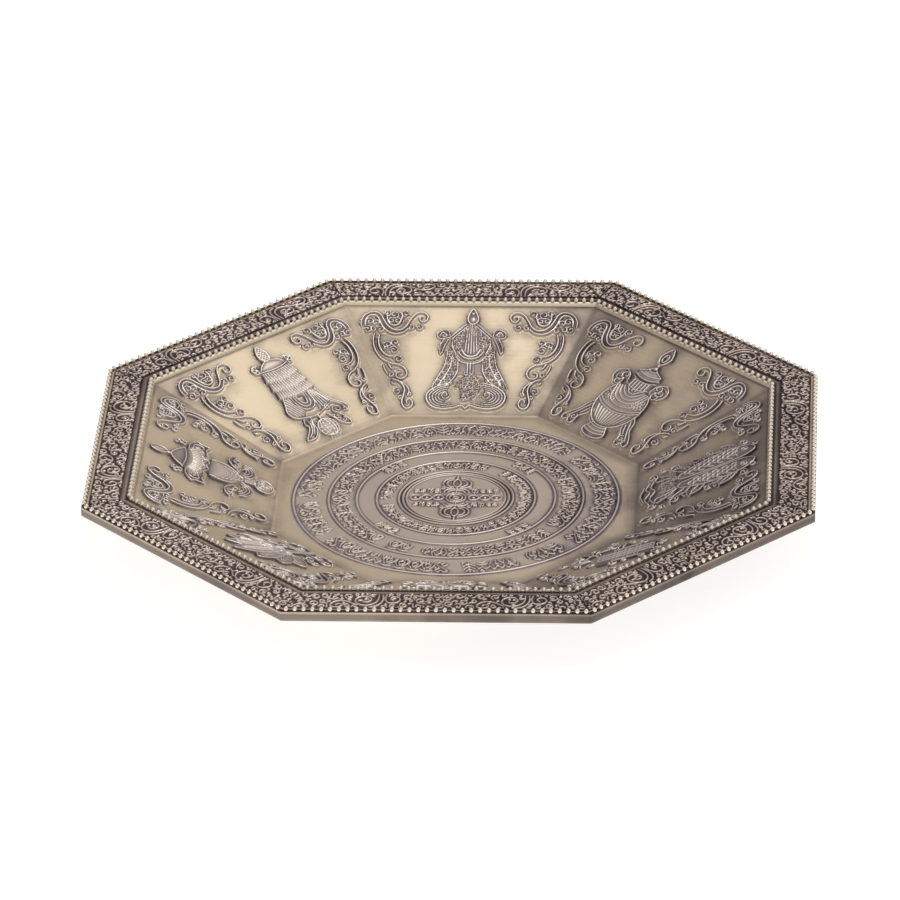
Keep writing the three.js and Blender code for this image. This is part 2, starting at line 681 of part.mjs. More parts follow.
const tray = new THREE.Group();
tray.add(piece("tray_shell", trayShell(), "body"));

const outerRail = beadRail(RIM_APOTHEM, RIM_APOTHEM - OUTER_RAIL_WIDTH, OUTER_BEAD_PITCH);
const innerRail = beadRail(
  INNER_RAIL_APOTHEM, INNER_RAIL_APOTHEM + INNER_RAIL_WIDTH, INNER_BEAD_PITCH,
);
const friezeStrip = frieze();
const scroll = cornerScroll();
SIDE_NAMES.forEach((side, k) => {
  const group = new THREE.Group();
  group.rotation.z = (2 * Math.PI * k) / SIDES;
  for (const [name, geometry] of [["outer", outerRail], ["inner", innerRail]]) {
    const rail = piece(`${side}_${name}_bead_rail`, geometry, "bead");
    rail.position.z = RIM_TOP;
    group.add(rail);
  }
  const rim = rimFrame();
  rim.add(piece(`${side}_frieze`, friezeStrip, "frieze"));
  group.add(rim, panelRelief(SYMBOLS[k], scroll));
  tray.add(group);
});

const medallion = new THREE.Group();
medallion.position.z = FLOOR_TOP;
for (const [name, radius] of Object.entries(RING_RADII)) {
  medallion.add(piece(`${name}_floor_ring`, floorRing(radius), "relief"));
}
medallion.add(piece(
  "emblem_ring", floorRing(EMBLEM_RING_RADIUS, EMBLEM_RING_RIDGES, EMBLEM_RING_PITCH), "relief",
));
medallion.add(piece("vajra_emblem", vajraEmblem(), "relief"));
tray.add(medallion);

export default tray;
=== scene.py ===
"""Dresses an eight-sided offering tray, cast in brass, antiqued and rubbed bright on its crests.

Every size is in millimetres until a mesh is made. The tray stands on Z 0, +Z is up and the
front side faces -Y, as in the frame that the script loads.
"""
import logging
import math
from collections.abc import Iterable, Sequence
from dataclasses import dataclass, field, replace
from enum import Enum
from functools import partial

import bpy
import numpy as np
from mathutils import Matrix, Quaternion, Vector


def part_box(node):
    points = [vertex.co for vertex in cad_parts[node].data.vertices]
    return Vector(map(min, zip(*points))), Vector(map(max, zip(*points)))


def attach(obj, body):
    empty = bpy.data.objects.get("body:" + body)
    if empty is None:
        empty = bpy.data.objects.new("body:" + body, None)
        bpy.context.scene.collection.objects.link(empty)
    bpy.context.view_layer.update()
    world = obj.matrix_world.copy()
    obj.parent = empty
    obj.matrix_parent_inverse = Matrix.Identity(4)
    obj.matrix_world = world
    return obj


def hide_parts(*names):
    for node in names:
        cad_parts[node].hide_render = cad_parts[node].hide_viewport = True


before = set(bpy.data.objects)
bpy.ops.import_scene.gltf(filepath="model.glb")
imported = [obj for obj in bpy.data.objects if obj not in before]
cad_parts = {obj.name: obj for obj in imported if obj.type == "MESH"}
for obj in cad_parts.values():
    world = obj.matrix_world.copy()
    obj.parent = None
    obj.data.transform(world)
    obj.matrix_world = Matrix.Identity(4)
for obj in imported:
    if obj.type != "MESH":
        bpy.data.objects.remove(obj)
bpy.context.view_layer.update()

log = logging.getLogger("tray")

MM = 0.001
SIDES = ("front", "front_right", "right", "back_right", "back", "back_left", "left", "front_left")
HALF_ANGLE = math.pi / len(SIDES)
SHARE = math.tan(HALF_ANGLE)
# Levels or reaches of the section that are closer than this count as one.
TOLERANCE = 0.02
# The wear of open ground on a panel, halfway from a dark recess to a bright crest.
OPEN_WEAR = 0.5
# How far the first turn of a curl reaches, as a share of the curl's radius.
CURL_REACH = 1.18

Point = tuple[float, float]
Place = tuple[float, float, float]
Line = Sequence[Point]
Coil = tuple[float, float, float, float, float]


def linear(code: str) -> tuple[float, float, float, float]:
    """Turns an sRGB hex colour into the linear colour that a shader reads.

    Args:
        code: The colour as six hex digits.

    Returns:
        Linear red, green and blue, and an alpha of 1.
    """
    parts = [int(code[i:i + 2], 16) / 255 for i in (0, 2, 4)]
    bent = [c / 12.92 if c <= 0.04045 else ((c + 0.055) / 1.055) ** 2.4 for c in parts]
    return (*bent, 1.0)


def flowing(points: Line, step: float, closed: bool) -> np.ndarray:
    """Runs a smooth curve through a few points.

    Args:
        points: The points that the curve passes, in order.
        step: The distance between the samples.
        closed: Whether the curve returns to its first point.

    Returns:
        The samples, one row each.
    """
    stops = np.asarray(points, float)
    if closed:
        stops = np.vstack([stops[-1], stops, stops[0], stops[1]])
    else:
        stops = np.vstack([2 * stops[0] - stops[1], stops, 2 * stops[-1] - stops[-2]])
    runs = []
    for a, b, c, d in zip(stops, stops[1:], stops[2:], stops[3:]):
        count = max(2, int(np.hypot(*(c - b)) / step) + 1)
        t = np.linspace(0, 1, count, endpoint=False)[:, None]
        runs.append(0.5 * (2 * b + (c - a) * t + (2 * a - 5 * b + 4 * c - d) * t ** 2
                           + (3 * b - a - 3 * c + d) * t ** 3))
    return np.vstack([*runs, stops[-2][None]])


def spiral(x: float, y: float, radius: float, start: float, turn: float,
           end: float) -> list[Point]:
    """Gives the line of a curl that winds in round a centre.

    Args:
        x: The centre, across.
        y: The centre, up.
        radius: The radius where the curl starts.
        start: The direction from the centre to the start, in degrees.
        turn: How far it winds, in degrees, positive against the clock.
        end: The last radius as a share of the first.

    Returns:
        Points along the curl.
    """
    degrees_a_step, fewest = 40, 4
    count = max(fewest, int(abs(turn) / degrees_a_step))
    points = []
    for i in range(count + 1):
        share = i / count
        angle = math.radians(start + turn * share)
        reach = radius * (1 + (end - 1) * share ** 1.6)
        points.append((x + reach * math.cos(angle), y + reach * math.sin(angle)))
    return points


def oval(x: float, y: float, wide: float, tall: float) -> list[Point]:
    """Lists ten points round an oval with the given half width and half height."""
    angles = np.arange(0, 2 * math.pi, math.pi / 5)
    return [(x + wide * math.cos(a), y + tall * math.sin(a)) for a in angles]


def even(middle: float, *half: Point) -> list[Point]:
    """Completes half a line with its mirror image.

    Args:
        middle: Where the mirror stands.
        *half: The points of the half, with their distances from the mirror.

    Returns:
        The left half as given, and then the right half back to the start.
    """
    left = [(middle - x, y) for x, y in half]
    return left + [(middle + x, y) for x, y in reversed(half) if x]


def beside(middle: float, side: int, points: Line) -> list[Point]:
    """Puts points on the left (-1) or right (1) of a middle, from which they are measured."""
    return [(middle + side * x, y) for x, y in points]


def coils(middle: float, side: int, curls: Sequence[Coil]) -> list[Coil]:
    """Puts curls on the left (-1) or right (1) of a middle, each wound to match its side."""
    return [(middle + side * x, y, radius, start, side * turn) for x, y, radius, start, turn in curls]


def blurred(values: np.ndarray, reach: float, wrap: bool = False) -> np.ndarray:
    """Softens a grid of values.

    Args:
        values: The grid.
        reach: The spread of the softening, in cells.
        wrap: Whether the grid's second axis joins end to end.

    Returns:
        The softened grid.
    """
    half = max(1, int(3 * reach))
    taps = np.exp(-0.5 * (np.arange(-half, half + 1) / reach) ** 2)
    taps /= taps.sum()
    for axis in (0, 1):
        pads = [(half, half) if i == axis else (0, 0) for i in (0, 1)]
        padded = np.pad(values, pads, mode="wrap" if wrap and axis == 1 else "edge")
        length = values.shape[axis]
        values = sum(
            tap * np.take(padded, np.arange(i, i + length), axis=axis)
            for i, tap in enumerate(taps)
        )
    return values


@dataclass
class Relief:
    """A chased relief on a square grid: bodies on the ground and thin lines over them.

    Where lines stand close together, a backing carries them, so that a scroll is a raised
    plate with lines on it.
    """

    left: float
    right: float
    foot: float
    top: float
    cell: float = 0.2
    wraps: bool = False
    fine: float = 1.0
    lines: np.ndarray = field(init=False)
    bodies: np.ndarray = field(init=False)

    def __post_init__(self) -> None:
        """Lays out the grid with nothing raised on it."""
        columns = round((self.right - self.left) / self.cell) + (0 if self.wraps else 1)
        rows = round((self.top - self.foot) / self.cell) + 1
        self.lines = np.zeros((rows, columns))
        self.bodies = np.zeros((rows, columns))

    @property
    def across(self) -> np.ndarray:
        """The place of each column."""
        return self.left + self.cell * np.arange(self.lines.shape[1])

    @property
    def up(self) -> np.ndarray:
        """The place of each row."""
        return self.foot + self.cell * np.arange(self.lines.shape[0])

    def layer(self) -> "Relief":
        """Returns an empty relief on the same grid."""
        return replace(self)

    def mirrored(self) -> "Relief":
        """Returns the relief turned over left to right about the middle of its grid."""
        copy = self.layer()
        copy.lines = self.lines[:, ::-1].copy()
        copy.bodies = self.bodies[:, ::-1].copy()
        return copy

    def stamp(self, samples: np.ndarray, reach: np.ndarray, rise: np.ndarray) -> None:
        """Raises a line round each of its samples.

        Args:
            samples: Points along the line.
            reach: Half the width of the raised line at each point.
            rise: The height of its crest at each point.
        """
        span = int(reach.max() / self.cell) + 2
        offsets = np.arange(-span, span + 1)
        columns = np.rint((samples[:, 0] - self.left) / self.cell).astype(int)
        rows = np.rint((samples[:, 1] - self.foot) / self.cell).astype(int)
        columns = columns[:, None, None] + offsets[None, None, :]
        rows = rows[:, None, None] + offsets[None, :, None]
        gap = np.hypot(
            self.left + self.cell * columns - samples[:, 0, None, None],
            self.foot + self.cell * rows - samples[:, 1, None, None],
        ) / reach[:, None, None]
        value = rise[:, None, None] * np.clip(1 - gap ** 2, 0, 1)
        columns, rows = np.broadcast_arrays(columns, rows)
        if self.wraps:
            columns = columns % self.lines.shape[1]
        inside = (rows >= 0) & (rows < self.lines.shape[0])
        inside &= (columns >= 0) & (columns < self.lines.shape[1])
        np.maximum.at(self.lines, (rows[inside], columns[inside]), value[inside])

    def rib(self, points: Line, width: float = 0.6, rise: float = 1.0,
            ends: tuple[float, float] = (0.8, 0.8), closed: bool = False) -> None:
        """Raises a rounded line.

        Args:
            points: The points that the line flows through.
            width: Its width at the middle of its length.
            rise: The height of its crest, as a share of a usual line's.
            ends: Its width at the two ends, as shares of the middle's.
            closed: Whether it returns to its first point.
        """
        samples = flowing(points, self.cell / 2, closed)
        share = np.linspace(0, 1, len(samples))
        first, last = ends
        swell = np.sin(np.pi * share)
        thin = 1 if closed else swell + (1 - swell) * np.where(share < 0.5, first, last)
        thin = np.broadcast_to(thin, share.shape)
        self.stamp(samples, self.fine * width / 2 * thin + 0.03, rise * thin ** 0.3)

    def ribs(self, lines: Iterable[Line], width: float = 0.6, about: float | None = None) -> None:
        """Raises several lines.

        Args:
            lines: The points of each line.
            width: Their width.
            about: Where a mirror stands that repeats them left to right, or None.
        """
        for line in lines:
            self.rib(line, width)
            if about is not None:
                self.rib([(2 * about - x, y) for x, y in line], width)

    def curl(self, x: float, y: float, radius: float, start: float, turn: float,
             width: float = 0.42) -> None:
        """Raises an open spiral, which winds in further the larger it is."""
        wind = turn * min(0.93, 0.25 + 0.68 * radius)
        self.rib(spiral(x, y, CURL_REACH * radius, start, wind, 0.22), width, 1.0, (1.0, 1.2))

    def curls(self, curls: Sequence[Coil], about: float | None = None) -> None:
        """Raises several curls.

        Args:
            curls: The x, y, radius, start and turn of each.
            about: Where a mirror stands that repeats them left to right, or None.
        """
        for x, y, radius, start, turn in curls:
            self.curl(x, y, radius, start, turn)
            if about is not None:
                self.curl(2 * about - x, y, radius, 180 - start, -turn)

    def ring(self, x: float, y: float, wide: float, tall: float, width: float) -> None:
        """Raises a line round an oval."""
        self.rib(oval(x, y, wide, tall), width, closed=True)

    def pearl(self, x: float, y: float, radius: float) -> None:
        """Raises a small round boss."""
        self.stamp(np.array([[x, y]]), np.array([radius]), np.ones(1))

    def depth_inside(self, outline: Line, smooth: bool = True) -> np.ndarray:
        """Measures how far each place of the grid lies inside an outline.

        Args:
            outline: The corners of the outline.
            smooth: Whether a smooth curve runs through the corners.

        Returns:
            The distance to the outline, negative outside it.
        """
        corners = flowing(outline, 0.7, True)[:-1] if smooth else np.asarray(outline, float)
        u, v = np.meshgrid(self.across, self.up)
        odd = np.zeros(u.shape, bool)
        nearest = np.full(u.shape, np.inf)
        for (x0, y0), (x1, y1) in zip(corners, np.roll(corners, -1, axis=0)):
            length = max((x1 - x0) ** 2 + (y1 - y0) ** 2, 1e-9)
            along = np.clip(((u - x0) * (x1 - x0) + (v - y0) * (y1 - y0)) / length, 0, 1)
            reach = (u - x0 - along * (x1 - x0)) ** 2 + (v - y0 - along * (y1 - y0)) ** 2
            nearest = np.minimum(nearest, reach)
            if y0 != y1:
                crosses = (y0 > v) != (y1 > v)
                odd ^= crosses & (u < (x1 - x0) * (v - y0) / (y1 - y0) + x0)
        return np.sqrt(nearest) * np.where(odd, 1, -1)

    def dome(self, outline: Line, rise: float = 0.3, edge: float = 0.5,
             smooth: bool = True) -> np.ndarray:
        """Raises an area with a rounded top.

        Args:
            outline: The corners of its outline.
            rise: How high its middle stands.
            edge: The width over which most of it rises.
            smooth: Whether the outline is a smooth curve through the corners.

        Returns:
            How far each place lies inside the outline.
        """
        depth = self.depth_inside(outline, smooth)
        step = 0.02
        value = rise * (1 - np.exp(-np.clip(depth, 0, None) / edge)) + np.where(depth > 0, step, 0)
        self.bodies = np.maximum(self.bodies, value)
        return depth

    def flutes(self, depth: np.ndarray, phase: np.ndarray, rise: float = 0.9) -> None:
        """Raises one line wherever a count of flutes is whole, inside an area.

        Args:
            depth: How far each place lies inside the area.
            phase: The count of flutes passed at each place.
            rise: The height of the lines, as a share of a usual line's.
        """
        crest = np.abs(np.cos(np.pi * phase)) ** 3
        fade = 0.3
        value = rise * crest * np.clip(depth / fade, 0, 1)
        self.lines = np.maximum(self.lines, np.where(depth > 0, value, 0))

    def thicket(self, outline: Line, seed: int, pitch: float = 1.25, size: float = 0.55) -> None:
        """Fills an area with small hooks and curls, as on chased cloth.

        Args:
            outline: The corners of the area.
            seed: The seed of the variety.
            pitch: The distance between the hooks.
            size: Their size.
        """
        dice = np.random.default_rng(seed)
        corners = np.asarray(outline, float)
        low, high = corners.min(axis=0), corners.max(axis=0)
        depth = self.depth_inside(outline)
        for row, y in enumerate(np.arange(low[1], high[1], pitch * 0.87)):
            for x in np.arange(low[0] + (row % 2) * pitch / 2, high[0], pitch):
                place = np.array([x, y]) + dice.uniform(-0.15, 0.15, 2)
                if self.sampled(depth, place[:1], place[1:])[0] < 0.3:
                    continue
                start, spin = dice.uniform(0, 360), dice.choice((-1, 1))
                self.rib(spiral(*place, size, start, spin * dice.uniform(150, 330), 0.6), 0.36, 0.75)

    def scales(self, outline: Line) -> None:
        """Covers an area with staggered rows of overlapping scales.

        Args:
            outline: The corners of the area.
        """
        wide, tall = 2.1, 1.45
        low, high = np.min(outline, axis=0), np.max(outline, axis=0)
        depth = self.depth_inside(outline)
        scale = ((-0.5, 0.45), (-0.36, -0.2), (0, -0.5), (0.36, -0.2), (0.5, 0.45))
        for row, y in enumerate(np.arange(low[1], high[1], tall)):
            for x in np.arange(low[0] + wide / 2 * (row % 2), high[0], wide):
                if self.sampled(depth, np.array([x]), np.array([y]))[0] > 0.2:
                    self.rib([(x + wide * a, y + 1.2 * tall * b) for a, b in scale], 0.66)

    @property
    def backing(self) -> np.ndarray:
        """The share of the backing's height that stands at each place."""
        there = np.maximum(np.clip(3 * self.lines, 0, 1), self.bodies > 0)
        near = blurred(there, 0.42 / self.cell, self.wraps)
        thinnest, fullest = 0.18, 0.4
        share = np.clip((near - thinnest) / (fullest - thinnest), 0, 1)
        return share * share * (3 - 2 * share)

    def height(self) -> np.ndarray:
        """Works out the height over the ground, below 0 where nothing stands on it."""
        plate, line, sunk = 0.45, 0.3, 0.15
        return (plate + sunk) * self.backing - sunk + self.bodies + line * self.lines

    def spread(self, grid: np.ndarray, reach: float, gain: float) -> np.ndarray:
        """Spreads a grid over a reach in millimetres, times a gain and held between 0 and 1."""
        return np.clip(gain * blurred(grid, reach / self.cell, self.wraps), 0, 1)

    def wear_and_shade(self, neighbours: Sequence["Relief"]) -> np.ndarray:
        """Works out where the dark patina stays, where hands rub the brass bright, and where painted shade
        and painted highlights fall.

        Args:
            neighbours: Further reliefs on the same ground.

        Returns:
            A grid from 0 in a recess to 1 on a crest, with open ground at OPEN_WEAR.
        """
        backing, lines, bodies = (
            np.maximum.reduce([getattr(relief, grid) for relief in (self, *neighbours)])
            for grid in ("backing", "lines", "bodies"))
        # The shadow is a painted shadow on the ground round each plate. The shade beside the lines on a plate
        # is patina in the groove with painted shade over it.
        haze, shadow, groove_and_shade = 0.15, 0.07, 0.2
        plate_wear, body_gain, body_rise = 0.35, 0.46, 0.4
        ground = OPEN_WEAR - haze * self.spread(backing, 1.9, 1.7) \
            - shadow * self.spread(backing, 0.5, 2)
        plate = plate_wear + body_gain * np.clip(bodies / body_rise, 0, 1) \
            - groove_and_shade * self.spread(lines, 0.3, 2.2)
        wear_and_shade = ground * (1 - backing) + plate * backing
        # Painted light: walls that face down the slope, towards the middle of the tray, are lightened as a
        # painted highlight, and the other walls are darkened as painted shade.
        rise, slant = np.gradient(blurred(backing, 0.2 / self.cell), self.cell)
        lit_wall = np.clip(0.5 * rise, 0, 1)
        shaded_wall = np.clip(0.5 * np.hypot(rise, slant) - lit_wall, 0, 1)
        brightest, highlight_gain, wall_shade_gain = 0.95, 0.8, 0.34
        wear_and_shade += highlight_gain * lit_wall * (brightest - wear_and_shade) - wall_shade_gain * shaded_wall * wear_and_shade
        return self.crested(wear_and_shade, lines, 1.1)

    def crested(self, wear_and_shade: np.ndarray, lines: np.ndarray, power: float) -> np.ndarray:
        """Raises the wear towards 1 on the crests of lines; a low power widens the crests."""
        return np.clip(wear_and_shade + (1 - wear_and_shade) * np.clip(lines, 0, 1) ** power, 0, 1)

    def ground_wear(self, ground: float, shade: float, reach: float,
                    haze: float = 0.0) -> np.ndarray:
        """Works out the wear of lines that stand on open ground without a backing.

        Args:
            ground: The wear of the ground far from any line.
            shade: How much darker the ground is among the lines.
            reach: How far that shade spreads, in millimetres.
            haze: How much darker a wide surround of the lines is.

        Returns:
            A grid from 0 in a recess to 1 on a crest.
        """
        there = np.clip(3 * self.lines, 0, 1)
        wear_and_shade = ground - shade * self.spread(there, reach, 2.2) - haze * self.spread(there, 1.5, 2.5)
        return self.crested(wear_and_shade, self.lines, 0.85)

    def sampled(self, grid: np.ndarray, u: np.ndarray, v: np.ndarray) -> np.ndarray:
        """Reads a grid of values at any places.

        Args:
            grid: Values on this relief's grid.
            u: The places across.
            v: The places up.

        Returns:
            The values there.
        """
        rows, columns = grid.shape
        x = (u - self.left) / self.cell
        y = np.clip((v - self.foot) / self.cell, 0, rows - 1.001)
        x = x % columns if self.wraps else np.clip(x, 0, columns - 1.001)
        i, j = np.floor(x).astype(int), np.floor(y).astype(int)
        x, y = x - i, y - j
        i, far = i % columns, (i + 1) % columns
        low = grid[j, i] * (1 - x) + grid[j, far] * x
        high = grid[j + 1, i] * (1 - x) + grid[j + 1, far] * x
        return low * (1 - y) + high * y


def linked(name: str, data: bpy.types.ID) -> bpy.types.Object:
    """Makes an object of a mesh, a lamp or a camera and links it to the scene."""
    thing = bpy.data.objects.new(name, data)
    bpy.context.scene.collection.objects.link(thing)
    return thing


@dataclass
class Shape:
    """The points and faces of one closed body, with the wear and painted shade at each point."""

    points: np.ndarray
    faces: list[np.ndarray]
    wear_and_shade: np.ndarray
    grain: np.ndarray | None = None

    def moved(self, place: Matrix) -> "Shape":
        """Returns a copy moved by a matrix in millimetres."""
        turn = np.array(place.to_3x3())
        points = self.points @ turn.T + np.array(place.translation)
        return Shape(points, self.faces, self.wear_and_shade, self.grain)

    def piece(self, name: str, material: bpy.types.Material, sharp: float) -> bpy.types.Object:
        """Makes the body a mesh in metres, linked to the scene.

        Args:
            name: The piece's name.
            material: Its finish.
            sharp: The angle past which an edge stays crisp, in degrees.

        Returns:
            The new object.
        """
        mesh = bpy.data.meshes.new(name)
        mesh.vertices.add(len(self.points))
        mesh.vertices.foreach_set("co", (self.points * MM).astype(np.float32).ravel())
        corners = np.concatenate([face.ravel() for face in self.faces]).astype(np.int32)
        sizes = np.concatenate([np.full(len(face), face.shape[1]) for face in self.faces])
        mesh.loops.add(len(corners))
        mesh.loops.foreach_set("vertex_index", corners)
        mesh.polygons.add(len(sizes))
        starts = np.concatenate([[0], np.cumsum(sizes)[:-1]]).astype(np.int32)
        mesh.polygons.foreach_set("loop_start", starts)
        mesh.update(calc_edges=True)
        mesh.polygons.foreach_set("use_smooth", np.ones(len(sizes), bool))
        wear_and_shade = mesh.attributes.new("wear_and_shade", "FLOAT", "POINT")
        # Every piece is made a little darker on the right of the tray than on its left.
        darker = 0.07 * np.clip(self.points[:, 0] / 60 - 0.1, -0.5, 1)
        wear_and_shade.data.foreach_set("value", (self.wear_and_shade - darker).astype(np.float32))
        if self.grain is not None:
            layer = mesh.uv_layers.new(name="grain")
            layer.data.foreach_set("uv", self.grain[corners].astype(np.float32).ravel())
        mesh.set_sharp_from_angle(angle=math.radians(sharp))
        mesh.materials.append(material)
        mesh.update()
        return linked(name, mesh)


def cut_patch(relief: Relief, height: np.ndarray, wear_and_shade: np.ndarray, show: float = -0.1,
              depth: float = 0.4) -> Shape:
    """Cuts the raised part of a relief out as a closed body whose edge dips into the ground.

    Args:
        relief: The relief.
        height: The height on its grid.
        wear_and_shade: The wear on its grid.
        show: The height down to which the ground's edge is kept.
        depth: How far the flat back lies below the ground.

    Returns:
        The body, with X and Y on the ground and Z out of it.
    """
    kept = height > show
    cells = kept[:-1, :-1] | kept[1:, :-1] | kept[:-1, 1:] | kept[1:, 1:]
    cells[[0, -1], :] = False
    cells[:, [0, -1]] = False
    while True:
        a, b, c, d = cells[:-1, :-1], cells[:-1, 1:], cells[1:, :-1], cells[1:, 1:]
        touching = (a & d & ~b & ~c) | (b & c & ~a & ~d)
        if not touching.any():
            break
        for part in (a, b, c, d):
            part |= touching
    rows, columns = np.nonzero(cells)
    stride = height.shape[1]
    corner = rows * stride + columns
    quads = np.stack([corner, corner + 1, corner + stride + 1, corner + stride], axis=1)
    used = np.unique(quads)
    back = flat_back(cells)
    rim = np.unique(back)
    number, below = np.full(height.size, -1), np.full(height.size, -1)
    number[used] = np.arange(len(used))
    below[rim] = len(used) + np.arange(len(rim))
    walls = []
    for step, (first, last) in (((-1, 0), (0, 1)), ((0, 1), (1, 2)),
                                ((1, 0), (2, 3)), ((0, -1), (3, 0))):
        open_side = ~cells[rows + step[0], columns + step[1]]
        start, end = quads[open_side, first], quads[open_side, last]
        walls.append(np.stack([number[end], number[start], below[start], below[end]], axis=1))
    u, v = np.meshgrid(relief.across, relief.up)
    flat = np.stack([u.ravel(), v.ravel()], axis=1)
    points = np.vstack([
        np.column_stack([flat[used], np.maximum(height, 2 * show).ravel()[used]]),
        np.column_stack([flat[rim], np.full(len(rim), -depth)]),
    ])
    faces = [np.vstack([number[quads], *walls]), below[back]]
    return Shape(points, faces, np.concatenate([wear_and_shade.ravel()[used], np.zeros(len(rim))]))


def flat_back(cells: np.ndarray) -> np.ndarray:
    """Covers the back of a patch with triangles that use the points of its outline only.

    Args:
        cells: Which cells of the grid the patch fills.

    Returns:
        Three grid point numbers a triangle, with the clock seen from above.
    """
    wide = np.pad(cells, 1)
    inner = wide[:-1, :-1] & wide[1:, :-1] & wide[:-1, 1:] & wide[1:, 1:]
    faces = []
    for j, row in enumerate(cells):
        ends = np.flatnonzero(np.diff(np.pad(row, 1).astype(int))).reshape(-1, 2)
        for start, end in ends:
            low, high = (start + np.flatnonzero(~inner[k, start:end + 1]) for k in (j, j + 1))
            a = b = 0
            while a + 1 < len(low) or b + 1 < len(high):
                pair = (j, low[a]), (j + 1, high[b])
                if b + 1 == len(high) or (a + 1 < len(low) and low[a + 1] <= high[b + 1]):
                    a += 1
                    faces.append((*pair, (j, low[a])))
                else:
                    b += 1
                    faces.append((*pair, (j + 1, high[b])))
    corners = np.array(faces)
    return corners[:, :, 0] * (cells.shape[1] + 1) + corners[:, :, 1]


def grid_quads(rows: int, columns: int, wrap: bool = False) -> np.ndarray:
    """Numbers the quads of a grid of points that is stored row by row.

    Args:
        rows: How many rows of points there are.
        columns: How many points a row has.
        wrap: Whether the last column joins the first.

    Returns:
        Four point numbers a quad, against the clock with rows going up.
    """
    row, column = np.meshgrid(
        np.arange(rows - 1), np.arange(columns if wrap else columns - 1), indexing="ij",
    )
    row, column = row.ravel(), column.ravel()
    following = (column + 1) % columns
    return np.stack([
        row * columns + column, row * columns + following,
        (row + 1) * columns + following, (row + 1) * columns + column,
    ], axis=1)


@dataclass(frozen=True)
class Brass:
    """A finish of the same cast brass: dark patina in the recesses, rubbed bright on top.

    `grain_pitch` is the distance between brush lines in millimetres, or 0 where the casting
    isn't brushed. Real brush lines lie about 0.1 mm apart, so they are drawn coarser to show.
    """

    name: str
    recess: str
    shade: str
    ground: str
    edge: str
    crest: str
    roughness: float = 0.4
    grain_pitch: float = 0.0
    mottle: float = 0.1
    stain: float = 0.045


PANEL_TONES = ("362b31", "80767d", "aaa09a", "d3c8bf", "f9f4f2")


class Finish(Enum):
    """The finishes of the tray, one for each material slot."""

    # Brass cast smooth, brushed and thinly darkened: a satin, warm grey-gold ground.
    DISH = Brass("dish_brass", "4a3f3e", "968b84", "d8c9b2", "e6d9c2", "f4ebda", 0.44, 0.45, 0.05)
    # Brass cast in beads and rubbed hardest: pale, shiny tops over dark gaps.
    BEAD = Brass("bead_brass", "342a2e", "685b5d", "a3958b", "d2c6b8", "f4ece2", 0.36)
    # Brass cast in deep lines, with the patina left between them: pale lines on near black.
    FRIEZE = Brass("frieze_brass", "372c31", "6b5d5f", "9b8e88", "cfc2b9", "f8efea", 0.42)
    # Brass cast in relief and rubbed over the top: silvery lines on a dull grey-brown plate.
    SYMBOL = Brass("symbol_brass", *PANEL_TONES, 0.42)
    SCROLL = Brass("scroll_brass", *PANEL_TONES, 0.42)
    # Brass cast in low lines on open ground: pale lines with a soft brown shade round them.
    MEDALLION = Brass("medallion_brass", "392e35", "827880", "cfc3b7", "dcd0c5", "f6efe9", 0.44)


def add_node(tree: bpy.types.NodeTree, kind: str, links: dict | None = None,
             **settings: object) -> bpy.types.Node:
    """Adds one node with its settings, values and links.

    Args:
        tree: The node tree.
        kind: The node's type.
        links: A value or an output socket for each input, by name or number.
        **settings: Properties of the node.

    Returns:
        The node.
    """
    node = tree.nodes.new(kind)
    for name, value in settings.items():
        setattr(node, name, value)
    for key, value in (links or {}).items():
        socket = node.inputs[key]
        if isinstance(value, bpy.types.NodeSocket):
            tree.links.new(value, socket)
        else:
            socket.default_value = value
    return node


def blank_tree(owner: bpy.types.Material | bpy.types.World) -> bpy.types.NodeTree:
    """Gives a material or a world a node tree with nothing in it."""
    owner.use_nodes = True
    owner.node_tree.nodes.clear()
    return owner.node_tree


def colour_ramp(tree: bpy.types.NodeTree, value: object,
                tones: Sequence[tuple[float, str]]) -> bpy.types.NodeSocket:
    """Turns a value into a colour.

    Args:
        tree: The node tree.
        value: The value, or the socket that gives it.
        tones: The value and the hex colour of each stop, from the first to the last.

    Returns:
        The colour.
    """
    ramp = add_node(tree, "ShaderNodeValToRGB", {0: value})
    stops = ramp.color_ramp.elements
    for stop, (at, code) in zip(stops, (tones[0], tones[-1])):
        stop.position, stop.color = at, linear(code)
    for at, code in tones[1:-1]:
        stops.new(at).color = linear(code)
    return ramp.outputs[0]


